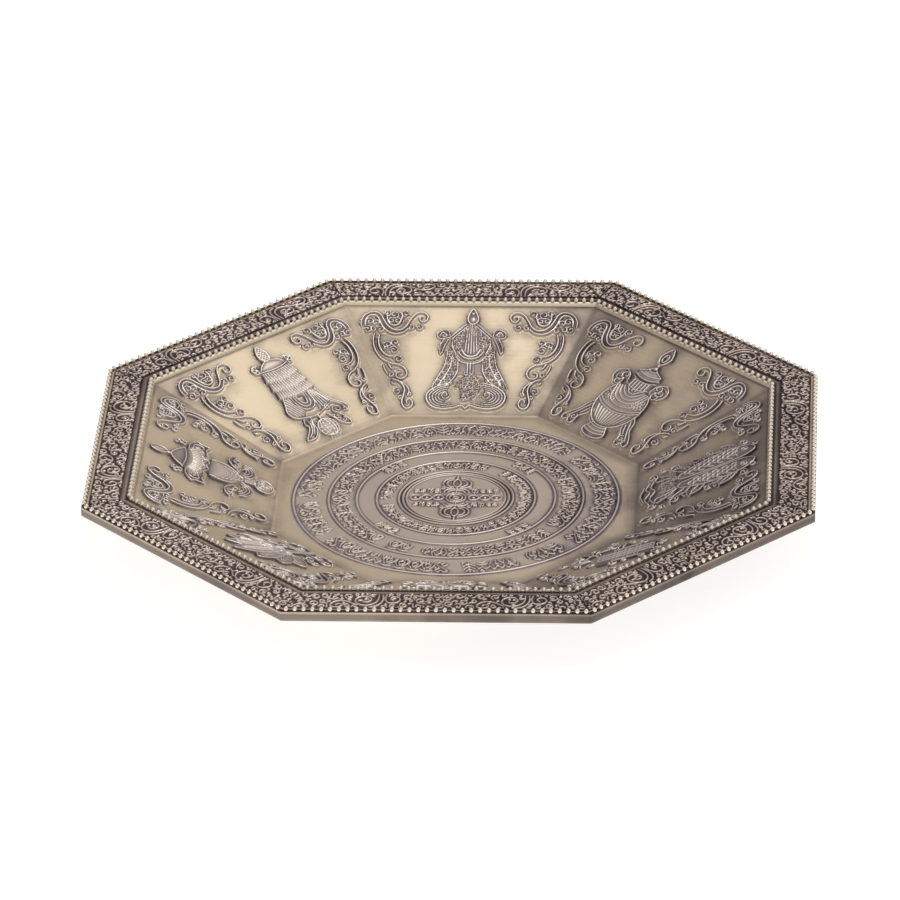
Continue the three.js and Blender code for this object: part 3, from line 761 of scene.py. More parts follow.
class AntiquedBrass:
    """Cast brass, chemically darkened and then rubbed back, as a node material.

    Brass keeps a warm grey-gold body here. The sulphide patina is a purple brown that stays
    in each recess, and polishing leaves the crests pale and smoother than the ground.
    """

    def __init__(self, brass: Brass) -> None:
        """Builds the material.

        Args:
            brass: Its colours and surface.
        """
        self.brass = brass
        self.material = bpy.data.materials.new(brass.name)
        self.tree = blank_tree(self.material)
        self.build()

    def math(self, operation: str, first: object, second: object) -> bpy.types.NodeSocket:
        """Returns the result of one arithmetic step."""
        node = add_node(self.tree, "ShaderNodeMath", {0: first, 1: second}, operation=operation)
        return node.outputs[0]

    def swing(self, pattern: bpy.types.NodeSocket, share: float) -> bpy.types.NodeSocket:
        """Returns a pattern round 0.5 as a swing round 0, times a share."""
        return self.math("MULTIPLY", self.math("SUBTRACT", pattern, 0.5), share)

    def noise(self, vector: bpy.types.NodeSocket, size: float,
              detail: float = 2.0) -> bpy.types.NodeSocket:
        """Returns a cloudy pattern.

        Args:
            vector: The coordinates, in metres.
            size: The size of a patch, in millimetres.
            detail: How many finer steps it has.

        Returns:
            Values round 0.5.
        """
        node = add_node(self.tree, "ShaderNodeTexNoise", {
            "Vector": vector, "Scale": 1 / (size * MM), "Detail": detail, "Roughness": 0.55,
        })
        return node.outputs["Fac"]

    def brushing(self) -> bpy.types.NodeSocket:
        """Returns the fine lines that brushing leaves, along the surface's own U direction."""
        uv = add_node(self.tree, "ShaderNodeUVMap", uv_map="grain").outputs[0]
        stretch = add_node(self.tree, "ShaderNodeMapping", {
            "Vector": uv, "Scale": (0.04, 1 / self.brass.grain_pitch, 1.0),
        }).outputs[0]
        node = add_node(self.tree, "ShaderNodeTexNoise", {
            "Vector": stretch, "Scale": 1.0, "Detail": 3.0, "Roughness": 0.6,
        })
        return node.outputs["Fac"]

    def build(self) -> None:
        """Links the wear, the mottling and the grain to the shader."""
        brass, tree = self.brass, self.tree
        place = add_node(tree, "ShaderNodeTexCoord").outputs["Object"]
        # The wear attribute carries the patina and the rubbing, and also the painted shade and painted
        # highlights laid into each piece.
        wear_and_shade = add_node(tree, "ShaderNodeAttribute", attribute_name="wear_and_shade").outputs["Fac"]
        # Stains, clouds and specks have the sizes of a real patina's. The grit of a casting is
        # finer than 0.1 mm, so it is drawn coarser to show.
        cloud = self.swing(self.noise(place, size=7.0, detail=4.0), 2 * brass.mottle)
        speck = self.swing(self.noise(place, size=0.9), 0.8 * brass.mottle)
        stain = add_node(tree, "ShaderNodeMapRange", {
            "Value": self.noise(place, size=26.0, detail=5.0), "From Min": 0.5, "From Max": 0.6,
            "To Min": 0.02, "To Max": -brass.stain,
        }).outputs[0]
        tone = self.math("ADD", self.math("ADD", wear_and_shade, self.math("ADD", cloud, speck)), stain)
        grit = self.noise(place, size=0.35)
        if brass.grain_pitch:
            lines = self.brushing()
            tone = self.math("ADD", tone, self.swing(lines, 0.07))
            grit = self.math("ADD", self.math("MULTIPLY", grit, 0.4), lines)
        colour = colour_ramp(tree, tone, (
            (0.08, brass.recess), (0.33, brass.shade), (0.5, brass.ground), (0.68, brass.edge),
            (0.95, brass.crest),
        ))
        rougher, smoother = 0.16, 0.1
        rough = add_node(tree, "ShaderNodeMapRange", {
            "Value": tone, "From Min": 0.1, "From Max": 0.95,
            "To Min": brass.roughness + rougher, "To Max": brass.roughness - smoother,
        }).outputs[0]
        bump = add_node(tree, "ShaderNodeBump", {
            "Strength": 0.15, "Distance": 0.05 * MM, "Height": grit,
        }).outputs[0]
        shader = add_node(tree, "ShaderNodeBsdfPrincipled", {
            "Base Color": colour, "Metallic": 0.9, "Roughness": rough, "Normal": bump,
        })
        add_node(tree, "ShaderNodeOutputMaterial", {"Surface": shader.outputs[0]})


@dataclass
class Dish:
    """The sizes of the plain dish, read from the frame."""

    rim_apothem: float = 0.0
    riser_apothem: float = 0.0
    floor_apothem: float = 0.0
    floor_top: float = 0.0
    riser_foot: float = 0.0
    rim_top: float = 0.0
    profile: list[Point] = field(default_factory=list)

    def __post_init__(self) -> None:
        """Finds the section's corners in the vertices of the plain dish."""
        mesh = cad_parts["tray_shell"].data
        points = np.empty(len(mesh.vertices) * 3)
        mesh.vertices.foreach_get("co", points)
        points = points.reshape(-1, 3) / MM
        reach = np.hypot(points[:, 0], points[:, 1]) * math.cos(HALF_ANGLE)
        corners = sorted({(round(r, 2), round(z, 2)) for r, z in zip(reach, points[:, 2])})
        self.profile = corners
        self.rim_top = max(z for _, z in corners)
        self.floor_top = round(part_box("outer_floor_ring")[0][2] / MM, 2)
        self.rim_apothem = max(r for r, _ in corners)
        self.riser_apothem = min(r for r, z in corners if z == self.rim_top)
        self.floor_apothem = max(r for r, _ in self.corners_at(self.floor_top))
        self.riser_foot = min(z for r, z in corners if abs(r - self.riser_apothem) < TOLERANCE)

    def corners_at(self, level: float) -> list[Point]:
        """Returns the section's corners at a level, from the middle outwards."""
        return [(r, z) for r, z in self.profile if abs(z - level) < TOLERANCE]

    @property
    def slope(self) -> float:
        """The angle of the panels over the floor."""
        return math.atan2(self.riser_foot - self.floor_top, self.riser_apothem - self.floor_apothem)

    @property
    def slope_length(self) -> float:
        """The length of a panel from the floor up to the riser."""
        return math.hypot(self.riser_foot - self.floor_top, self.riser_apothem - self.floor_apothem)

    def side_turn(self, side: int) -> Matrix:
        """Returns the turn from the front side to another side."""
        return Matrix.Rotation(side * 2 * HALF_ANGLE, 4, "Z")

    def panel_place(self, side: int) -> Matrix:
        """Returns the place of a side's panel.

        Args:
            side: The side's number.

        Returns:
            X to the right seen from the middle, Y up the slope and Z out of the metal, from the
            middle of the panel's foot.
        """
        right = Vector((-1, 0, 0))
        up = Vector((0, -math.cos(self.slope), math.sin(self.slope)))
        axes = Matrix((right, up, right.cross(up))).transposed().to_4x4()
        foot = Matrix.Translation((0, -self.floor_apothem, self.floor_top))
        return self.side_turn(side) @ foot @ axes

    def rim_place(self, side: int, apothem: float) -> Matrix:
        """Returns a place on a side's rim, with X to the right seen from the middle, Y outwards."""
        out = Matrix.Translation((0, -apothem, self.rim_top)) @ Matrix.Rotation(math.pi, 4, "Z")
        return self.side_turn(side) @ out


class PanelOrnament:
    """Draws the eight auspicious symbols and the corner scrolls of the sloping panels."""

    def __init__(self, dish: Dish) -> None:
        """Lays out the drawing sheet of a panel."""
        half = round(dish.riser_apothem * SHARE + 0.4)
        self.sheet = Relief(-half, half, 0.0, dish.slope_length, 0.16, fine=0.8)

    def bow(self, r: Relief, x: float, y: float, size: float, side: int) -> None:
        """Raises a tied bow with three curled petals.

        Args:
            r: The panel.
            x: The knot's place, across.
            y: The knot's place, up.
            size: The reach of a petal.
            side: -1 on the left of a symbol, 1 on its right.
        """
        for angle in (-50, 20, 90):
            turn = math.radians(90 - side * 90 + side * angle)
            cx, cy = x + size * math.cos(turn), y + size * math.sin(turn)
            r.curl(cx, cy, size * 0.78, math.degrees(turn) + 180, side * 400)
        r.pearl(x, y, 0.6)

    def corner_scroll(self) -> Relief:
        """Draws the leaf scroll of a panel's left corner: double lines, volutes and curls.

        Returns:
            The relief of the scroll alone.
        """
        r = self.sheet.layer()
        r.ribs([
            [(-30.8, 32.4), (-31, 34.4), (-30.2, 36.6), (-28.4, 37.9), (-26.6, 37.9), (-25.3, 36.8),
             (-24.4, 34.9), (-23.2, 32.9), (-21.4, 31.5), (-19.6, 31.4), (-18.1, 32.6),
             (-17.1, 34.6), (-16.1, 36.5), (-14.7, 37.8), (-13, 37.8), (-11.9, 36.5),
             (-12.2, 34.9), (-13.4, 34.5), (-14.2, 35.3), (-13.9, 36.4), (-13.2, 36.2)],
            [(-29.7, 33), (-29.8, 35), (-28.7, 36.6), (-27.2, 36.9), (-26.1, 35.8), (-25.3, 33.8),
             (-24.2, 31.9), (-22.6, 30.5), (-20.6, 30), (-18.6, 30.6), (-17.4, 31.9)],
            [(-23.6, 38), (-23.5, 35.4), (-22.7, 33.7), (-21.3, 33.1), (-20, 33.8), (-19.4, 35.6),
             (-19.3, 37.4)],
            [(-26.8, 30.4), (-27.2, 28.6), (-27, 25.8), (-26, 23), (-24.3, 20.7), (-21.9, 19.2),
             (-19.6, 18.6), (-17.9, 17.4), (-17.1, 15.6), (-17.6, 14), (-19, 13.5), (-20.1, 14.4),
             (-19.8, 15.7), (-18.7, 15.8)],
            [(-25.4, 30), (-25.7, 27.6), (-25.2, 25), (-24.1, 23), (-22.6, 21.9), (-21, 21.6)],
            [(-21.4, 13.4), (-19.6, 12.8), (-18.2, 11.4), (-17.5, 9.4), (-17.8, 7.2), (-18.1, 5),
             (-17.5, 3.2), (-16.4, 2.6), (-15.3, 3.4), (-15.1, 4.9), (-15.9, 6), (-16.8, 5.4),
             (-16.5, 4.4)],
        ], 0.66)
        r.ribs([
            [(-24.1, 19.1), (-23.5, 17), (-22.6, 15.2)],
            [(-22.6, 19), (-21.6, 17.4), (-20.6, 17)],
            [(-21.5, 12.6), (-20.9, 11.6), (-19.8, 11.4)],
            [(-18.6, 12.4), (-17, 10.9), (-16.2, 9), (-16.5, 7.2)],
        ], 0.56)
        r.curls([
            (-28.5, 34.6, 1.0, 200, -460), (-26.8, 34.1, 0.85, 340, 420), (-29.1, 31.7, 1.05, 90, -440),
            (-27.2, 31.8, 0.85, 90, 420), (-25.3, 31.5, 0.9, 120, -420), (-23.6, 37.6, 0.95, 270, 440),
            (-21.5, 37, 1.1, 250, 440), (-22.2, 34.9, 0.8, 90, 420), (-20.6, 34.9, 0.85, 90, -420),
            (-18.3, 37.4, 1.05, 260, -440), (-14.2, 32.4, 1.0, 120, -440), (-16.6, 32.3, 0.8, 90, -420),
            (-23, 26, 1.05, 240, -440), (-20.9, 26.8, 1.0, 270, -440), (-21.2, 24, 1.1, 150, -460),
            (-19.8, 20.7, 1.1, 200, -460),
            (-21.7, 14.9, 0.8, 110, -420), (-19.5, 8.9, 1.05, 60, 440), (-18.6, 6.5, 0.6, 60, 400),
            (-23.6, 24.6, 0.7, 300, 380), (-15.9, 7.7, 0.6, 200, -400),
        ])
        return r

    def conch(self, r: Relief) -> None:
        """Draws the conch: a jewelled tip, a fluted shell, chased cloth and a cloud of lobes.

        Args:
            r: The panel.
        """
        mid = 0.9
        r.rib([(1.1, 39.2), (-0.1, 37), (-0.3, 35), (0.6, 33.7), (1.7, 33.7), (2.6, 35), (2.3, 37)],
              0.6, closed=True)
        r.dome(oval(1.1, 35.3, 0.95, 1.2))
        r.pearl(1.15, 37.5, 0.55)
        for side, seed in ((-1, 3), (1, 4)):
            at = partial(beside, mid, side)
            r.ribs(map(at, [
                [(1.5, 33.6), (3.4, 31.6), (5.8, 29)], [(1.3, 32.7), (3, 30.9), (5.3, 28.4)],
                [(6.1, 28.4), (6.6, 31), (8.1, 31.4), (9.6, 30.4), (9.7, 28.8), (8.3, 28.2), (6.4, 28.6)],
                [(5.3, 28.4), (5.4, 25.6), (4.2, 22.4)], [(6.9, 29.4), (8.2, 30.6), (9, 29.4)],
                [(6.6, 28), (7.6, 25.6), (8.3, 23)], [(7.9, 28), (8.8, 25.8), (9.1, 23.4)],
                [(6.6, 24.6), (6.9, 21), (7.6, 17.4), (9.2, 13.8), (10.6, 10.4), (10.2, 9.4)],
                [(5.2, 22), (5.8, 17.6), (7.6, 13.6), (9.2, 10.6)], [(9.1, 23.4), (8.6, 22.6), (8.3, 23)],
                [(3.6, 20.4), (3.6, 16.6), (4.8, 13.4), (6.8, 11)], [(9.2, 13.4), (8.2, 12.4), (8.6, 11)],
                [(8, 16), (7, 14.6), (7.4, 13.2)],
            ]), 0.5)
            r.curl(mid + side * 7.9, 29.4, 0.6, 60, side * 440)
            r.thicket(at([(1.6, 32.4), (4.8, 28.6), (5, 26), (3.9, 22.8), (2.9, 23), (2, 28)]),
                      seed, 1.02, 0.5)
            r.thicket(at([(5.6, 27.6), (6.6, 24), (6.6, 21), (7.4, 17.6), (9, 14), (10, 10.8),
                          (5.6, 10.8), (3.9, 15), (3.7, 20.6), (4.6, 22.4)]), seed + 4, 1.08, 0.5)
        inner = r.dome([(-0.6, 33.2), (2.2, 33.2), (2.8, 28), (3.2, 24), (0.9, 22.4), (-1.4, 24),
                        (-1, 28)], 0.06)
        u, v = np.meshgrid(r.across, r.up)
        r.flutes(inner, (u - mid) / (0.5 + 0.035 * (33.5 - v)))
        for reach, level, wide in ((2.7, 24.2, 0.95), (3.6, 23.4, 0.6), (4.3, 21.6, 0.6)):
            r.rib(even(mid, (reach, level), (reach * 0.6, level - 1.9), (0, level - 2.5)), wide)
        r.dome([(-2.8, 19.4), (4.6, 19.4), (4.4, 15.6), (-2.6, 15.6)], 0.02, smooth=False)
        r.ribs([[(x, 19.8), (x * 1.04, 15.4)] for x in (0.1, 0.9, 1.7)], 0.5)
        r.thicket([(-0.4, 15.8), (2.2, 15.8), (4.6, 12.6), (6, 10.8), (3.4, 8.6), (2.2, 5.4), (0.4, 4.6),
                   (-1.4, 5.4), (-2, 8.6), (-4.2, 10.8), (-2.8, 12.6)], 9, 1.15, 0.52)
        edge = [(-1.2, 11.6), (-4.6, 12), (-8.4, 10.6), (-10.9, 8.2), (-11, 5.6), (-9.4, 3.4),
                (-6.6, 2.6), (-3.4, 3), (-1.2, 3.8), (0, 2.7)]
        pull = np.array([-5.9, 7.2])
        for k, size in enumerate((1.0, 0.84, 0.68, 0.52, 0.36)):
            path = [tuple(pull + size * (np.array(p) - pull)) for p in edge[1:9 - k // 2]]
            r.ribs([path + ([edge[-1]] if k == 0 else [])], 0.7 if k == 0 else 0.46, 0.0)
        r.curls([(-5.8, 7.6, 1.1, 0, -420)], 0.0)

    def vase(self, r: Relief) -> None:
        """Draws the treasure vase: leaf finial, lid, swagged belly, fluted bowl and ringed foot.

        Args:
            r: The panel.
        """
        c = -0.5
        r.rib(even(c, (0, 38.6), (1.6, 36.2), (1.9, 34.6), (1, 32.8), (0, 32.2)), 0.62, closed=True)
        r.ring(c, 34.8, 0.8, 1.5, 0.5)
        for level, size in ((31.6, 0.6), (30.4, 0.85)):
            r.pearl(c, level, size)
        r.dome(even(c, (1.6, 29.4), (4.4, 27.9), (4.6, 26.6), (0, 25.2)), 0.3, 0.7, smooth=False)
        r.ribs([even(c, (w, top), (w / 2, top - 0.75 * sag), (0, top - sag)) for w, top, sag in (
            (1.8, 29.4, 0.5), (4.3, 28.1, 1), (4.7, 26.9, 1.2), (4.4, 25.7, 1.2), (3.9, 22.5, 1.1),
            (2.6, 5.7, 0.5), (3.3, 4.7, 0.7), (3.8, 3.7, 0.8))])
        r.rib(even(c, (2.5, 6.6), (3.2, 5.4), (4.1, 3.4), (2.8, 2), (0, 1.5)), 0.56)
        r.ribs([[(c - 0.7, 30.2), (c - 2, 29.2), (c - 4.3, 28.2)]], about=c)
        neck = r.dome(even(c, (4, 25), (3.6, 22.2), (0, 21))[::-1], 0.1, smooth=False)
        u, v = np.meshgrid(r.across, r.up)
        r.flutes(neck, (u - c) / 1.15 + 0.5)
        for k, (w, foot) in enumerate(((3.2, 19.7), (4, 18.5), (4.8, 17.2), (5.6, 15.9), (6.4, 14.4))):
            r.rib(even(c, (w, 21.8 - 0.2 * k), (w * 0.72, foot + 1.5), (w * 0.3, foot + 0.2),
                       (0, foot)), 0.52)
        for x in (-1.8, -0.6, 0.6, 1.8):
            r.pearl(c + x, 20.9, 0.38)
        belly = even(c, (6.2, 21.4), (7.6, 18.6), (8.1, 15.6), (7.9, 13), (6.6, 9.9), (4, 7.2), (0, 6))
        r.dome(belly, 0.22, 1.6, smooth=False)
        r.rib(belly)
        r.ribs([even(c, (8.1, 15.6 - d), (5, 13.8 - d), (0, 12.9 - d)) for d in (0, 0.95)], 0.62)
        brim, base = even(c, (7.4, 13.2), (3, 12), (0, 11.7)), even(c, (5.8, 9.4), (2.6, 7), (0, 6.4))
        bowl = r.depth_inside(brim + base[::-1], False)
        r.flutes(bowl, (u - c) / (1.36 * np.clip((v - 5.2) / 7.8, 0.05, 1) ** 0.5) + 0.5, 0.75)
        r.dome(even(c, (2.8, 6.4), (3.9, 3.4), (0, 1.6))[::-1], 0.2, smooth=False)
        for side, seed in ((-1, 2), (1, 6)):
            at = partial(beside, c, side)
            r.thicket(at([(7.2, 18), (6.2, 19.4), (3, 15.2), (4.4, 14.6), (7.6, 15.8)]), seed, 1.1)
            self.bow(r, c + side * 6.6, 23.2, 1.5, side)
            r.rib(at([(4.6, 22.6), (5.6, 25.4), (8, 26.6), (10, 25.4), (10.4, 23.2), (8.8, 21)]), 0.55)
            r.ribs(map(at, [
                [(7.9, 13.4), (9.3, 11.4), (10.2, 8.6), (11.8, 6.6), (13.1, 4.4), (12.3, 3.1),
                 (10.9, 3.9), (10, 2.8), (8.7, 3.5), (8.5, 6), (7.2, 7.8), (6.5, 9.6)],
                [(8, 11.6), (9, 9.4), (10, 7.4), (11.6, 4.9)], [(7.4, 10), (8.2, 8.2), (8.9, 6.9)],
            ]), 0.5)
            r.curls(coils(c, side, [(9.7, 5.4, 0.9, 90, 420), (11.3, 4.6, 0.5, 90, 400)]))

    def banner(self, r: Relief) -> None:
        """Draws the victory banner: pleated tiers over a gathered skirt, with scarves and a ball.

        Args:
            r: The panel.
        """
        u, v = np.meshgrid(r.across, r.up)
        flame = even(0, (0, 38.7), (1.3, 36.8), (1.7, 35), (0.9, 33.2))
        inside = r.dome(flame, 0.2, 0.8)
        r.rib(flame, 0.55, closed=True)
        for way in (1, -1):
            r.flutes(inside, (v + way * u) / 1.1, 0.7)
        r.dome([(-0.9, 33), (-3, 31.8), (-4.2, 30.5), (0, 29.7), (4.3, 30.8), (3.4, 31.9),
                (1.1, 33)], 0.3, 0.9)
        r.ribs([[(-0.8, 33.2), (-3.1, 31.9), (-4.4, 30.5)], [(0.9, 33.2), (3.5, 32.1), (4.5, 30.9)],
                [(-5.2, 30), (-2, 29.7), (0, 29.6), (2.5, 29.8), (5, 30.4)]], 0.66)
        for top, foot, half in ((22.5, 19.4, 6.4), (25.9, 22.6, 6.2), (29.3, 26.1, 5.9)):
            upper = [(0.9 - half, top), (0, top - 0.4), (half - 0.9, top + 0.2)]
            lower = even(0, (half, foot), (half / 2, foot - 0.8), (0, foot - 1.1))
            tier = r.depth_inside(upper + lower[::-1], False)
            slant = np.clip((top - v) / (top - foot), 0, 1.3)
            r.bodies = np.where(tier > 0, 0.04 + 0.36 * slant, r.bodies)
            r.lines = np.where(tier > -0.15, 0, r.lines)
            r.flutes(tier + 0.1, u / (0.8 + 0.08 * slant), 1.15)
            r.ribs([upper, lower], 0.4)
        for half, low in ((3.1, 12.8), (2.2, 13.9), (1.4, 15)):
            r.rib([(-half, 18.4), (-0.9 * half, low + 2), (-half / 2, low + 0.4), (0.1, low),
                   (half / 2, low + 0.4), (0.9 * half, low + 2), (half, 18.4)], 0.52)
        left = r.dome([(-5.4, 19), (-6.6, 16.4), (-7.6, 14.2), (-6.6, 11.4), (-3.6, 11), (-2.2, 12.6),
                       (-3.4, 15.6), (-3.6, 18.6)], 0.15, smooth=False)
        r.flutes(left, (v + 2.4 * u) / 2.1)
        for k in range(5):
            start, end = 4.3 - 0.3 * k, 6.6 - 0.95 * k
            r.rib([(start, 18.8), ((start + end) / 2 + 0.1, 15.8), (end, 12.8 - 0.3 * k)], 0.5)
        r.ribs([
            [(-5.4, 19.1), (-6.6, 16.4), (-7.6, 14.2), (-6.9, 11.9), (-4.9, 10.8), (-0.5, 10), (2.5, 10.7),
             (5, 11.6), (6.9, 12.2)],
            [(5.6, 18.6), (6.6, 15.6), (8, 12.8), (10.2, 10.3), (10.7, 8.8), (9.7, 7.6)],
            [(4.9, 18.8), (5.9, 15.8), (7.2, 12.8), (9.2, 10.6), (9.5, 9.2)],
            [(-4.8, 10.2), (-5.6, 8.6), (-5.3, 7), (-6.8, 5.3), (-8.8, 3.3), (-6.7, 2.9), (-5, 3.7),
             (-3.5, 5.6), (-3.3, 7.6), (-2.4, 10.1)],
            [(-4.1, 9.6), (-4.3, 7.4), (-5.5, 5.3), (-7.2, 4)],
            [(-3.4, 9), (-3.9, 6.6), (-5.2, 4.7)],
            [(3, 9.7), (4, 7.2), (5, 4.8), (6.9, 3.3), (7.9, 3.8), (7.4, 6), (6.4, 8.2)],
            [(0.1, 9.9), (0.1, 8)],
        ], 0.55)
        r.curls([(7, 9.4, 1.3, 240, -460), (4.8, 11.2, 0.8, 60, 440), (5.2, 7, 0.8, 90, 440),
                 (6.3, 5.2, 0.7, 60, -420), (9.2, 8.6, 0.7, 200, 400)])
        for side, x, y in ((-1, -5.4, 31.3), (1, 5.8, 31)):
            self.bow(r, x, y, 0.9, side)
            r.rib([(x - side * 1.4, y + 1), (x, y + 1.7), (x + side * 1.5, y + 0.6),
                   (x + side * 0.9, y - 1)], 0.5)
        r.dome(oval(0.2, 4.9, 3.1, 3.2), 0.35, 1.4)
        for wide in (3.1, 2, 0.9):
            r.ring(0.2, 4.9, wide, 3.2, 0.46)
        for rise in (-1.9, -0.65, 0.65, 1.9):
            half = math.sqrt(9.6 - rise ** 2)
            r.rib(even(0.2, (half, 4.9 + rise), (0, 4.9 + 0.8 * rise)), 0.46)
        r.ribs([[(x, 1.9), (1.2 * x, 0.9)] for x in (-1.2, -0.4, 0.5, 1.3)], 0.4)

    def parasol(self, r: Relief) -> None:
        """Draws the parasol: dome, scalloped canopy with side flaps, ringed shaft and scarves.

        Args:
            r: The panel.
        """
        mid = 0.3
        r.dome(oval(-0.5, 36, 1.3, 2.1), 0.35, 1.0)
        r.ring(-0.5, 36, 1.5, 2.4, 0.5)
        r.pearl(-0.6, 33.1, 0.75)
        r.dome([(-0.4, 32.2), (-3, 30.9), (-4.8, 29), (0.3, 28.5), (5.2, 29), (3, 31), (0.4, 32.2)], 0.1, 0.9,
               smooth=False)
        r.ribs([[(-5, 28.9), (-3.2, 31), (-0.4, 32.4), (2.8, 31.1), (5.4, 29)]], 0.7)
        r.rib([(-5.2, 28.7), (0.3, 28), (5.6, 28.7)], 0.55)
        r.dome([(-5.6, 27.8), (0.3, 27.4), (6.2, 27.8), (8.6, 26), (7.8, 23.4), (5.4, 22.4), (0.3, 21.6),
                (-4.8, 22.4), (-7.2, 23.4), (-8, 26)], 0.4, 1.4)
        for k in range(-6, 7):
            lift = 0.035 * k * k
            r.rib([(mid + 0.86 * k, 26 + lift), (mid + 1.02 * k, 23.7 + lift)], 0.52)
            r.pearl(mid + 1.06 * k + 0.5, 23.2 + lift, 0.34)
        for low, wide in ((22.5, 6.6), (21.5, 5.8)):
            r.rib([(mid + x, low + 0.035 * x * x + 0.42 * math.cos(1.7 * x))
                   for x in np.arange(-wide, wide + 0.3, 0.45)], 0.5)
        r.dome([(-4.2, 20.6), (-4.6, 17), (-3.4, 14), (-1, 11), (1.8, 11), (4, 14), (5.2, 17), (4.8, 20.6)],
               0.4, 1.8)
        for half, level in ((3.4, 15.6), (3.1, 14.4), (2.6, 13.2), (2, 12), (1.4, 10.9)):
            r.rib(even(mid, (half, level + 1.1), (0.5 * half, level + 0.2), (0, level)), 0.55)
        r.dome([(-0.1, 10.4), (1.7, 10.4), (2, 7), (0.4, 7)], 0.35, 0.6)
        r.ribs([[(-0.3, 10.2), (0.1, 7.4)], [(1.9, 10.2), (2.3, 7.4)]], 0.46)
        r.dome(oval(1.3, 4.6, 3.2, 2.7), 0.3, 1.2)
        r.ring(1.3, 4.6, 3.3, 2.8, 0.52)
        r.curls([(0.1, 5.3, 0.95, 60, 430), (2.5, 5.3, 0.95, 120, -430), (1.3, 3.3, 0.85, 270, 430)])
        for side in (-1, 1):
            at = partial(beside, mid, side)
            self.bow(r, mid + side * 7.5, 30.1, 1.05, side)
            r.ribs(map(at, [
                [(5.9, 27.7), (8.8, 27.4), (11.2, 25.7), (10.6, 24.4), (10.3, 21.7), (8.4, 22.6),
                 (6.4, 22)],
                [(6.4, 26.6), (8.8, 26.3), (9.7, 25), (8.9, 23.4), (7.4, 23.9)],
                [(4.4, 20.6), (4.9, 17.6), (4.2, 14.8), (2.4, 12.6)],
                [(11.6, 13.8), (10.2, 15.3), (8, 15.7), (5.8, 14.4), (4.6, 12.4)],
            ]), 0.55)
            r.curls(coils(mid, side, [(7.9, 25, 0.7, 90, 420), (8.8, 13.7, 0.95, 200, 440),
                                      (6.7, 13, 0.85, 0, 420), (10.6, 13.3, 0.6, 90, 400)]))
            for reach in (0.9, 1.8, 2.7, 3.6):
                r.rib(at([(5.1 - reach, 11.2), (5.1 - 0.7 * reach, 11.2 - 0.7 * reach),
                          (5.3, 11.2 - reach), (5.6 + 0.7 * reach, 11.2 - 0.62 * reach),
                          (5.5 + reach, 11.6)]), 0.46)

    def fish(self, r: Relief) -> None:
        """Draws the pair of fish: scaled bodies with curled tails, among waves and leaves.

        Args:
            r: The panel.
        """
        mid = 1.2
        for side in (-1, 1):
            at = partial(beside, mid, side)
            r.thicket(at([(7.4, 32.6), (10.2, 29.6), (10.6, 25.6), (8.8, 22), (9.4, 17.4), (7.6, 13.6),
                          (5.8, 16), (7.2, 20), (7.6, 26)]), 12 + side, 1.2)
            body = at([(3.2, 37), (6.2, 34.8), (7.4, 30), (7.2, 24), (5.8, 18.6), (3.4, 14), (1.3, 14.6),
                       (0.6, 20), (0.4, 28), (0.9, 34)])
            r.dome(body, 0.2, 1.2)
            r.rib(body, closed=True)
            r.scales(at([(2.2, 31), (6.6, 31.4), (6.8, 24), (5.4, 18.6), (3.4, 14.8), (1.9, 20),
                         (1.7, 28)]))
            r.ring(mid + side * 4.4, 33.8, 0.9, 0.9, 0.5)
            r.pearl(mid + side * 4.4, 33.8, 0.4)
            r.ribs(map(at, [
                [(1.8, 31.6), (4, 31), (7, 32)], [(3.4, 13.4), (6, 10.6), (7.6, 7.4)],
                [(3, 13.2), (4.6, 10), (4.9, 7.2)], [(2.4, 13.2), (2.8, 10), (1.6, 7.4)],
                [(7.6, 7.4), (6.2, 6.6), (4.9, 7.2)], [(7.2, 31.8), (10, 29.8), (11.2, 26.2)],
                [(7.6, 29.6), (9.2, 27.8), (11.2, 26.2)], [(7.4, 27.4), (8.8, 25.4), (9, 23)],
                [(6.8, 22), (9.2, 20.4), (10.2, 17.4)], [(6.4, 20), (8.2, 18.4), (10.2, 17.4)],
                [(5.8, 17.4), (7.6, 15.6), (8.4, 13.2)], [(5, 15.6), (8, 11.8), (11, 11.4)],
            ]), 0.55)
            r.curls(coils(mid, side, [
                (9, 33.6, 1.2, 180, -460), (9.2, 12.6, 1.2, 120, -460), (8.4, 5.8, 1.2, 90, -460),
                (10, 22.8, 1, 60, -440), (5.9, 36.6, 0.9, 200, 420), (10.8, 8.8, 0.8, 90, 420)]))
        r.ribs([[(-6.4, 6.8), (-2, 5.4), (1.2, 6.6), (4.4, 5.2), (8.6, 6.6)],
                [(-5.2, 5.2), (-1.6, 3.8), (1.2, 5), (4.2, 3.6), (7.6, 4.8)],
                [(-3.4, 3.4), (1.2, 2.2), (5.4, 3.2)]])
        r.thicket([(-6, 12.6), (8.4, 12.6), (7.4, 8), (1.2, 8.6), (-5, 8)], 8, 1.2)

    def lotus(self, r: Relief) -> None:
        """Draws the lotus: a fan of veined petals over a leafy stem.

        Args:
            r: The panel.
        """
        for tilt in (-72, -48, 48, 72, -24, 24, 0):
            turn = math.radians(tilt)
            long = 18.5 - abs(tilt) * 0.06
            across, along = math.cos(turn), math.sin(turn)

            def at(pairs: Line) -> list[Point]:
                """Turns points of a petal about the foot of the fan."""
                return [(x * across + y * along, 15.6 - x * along + y * across) for x, y in pairs]

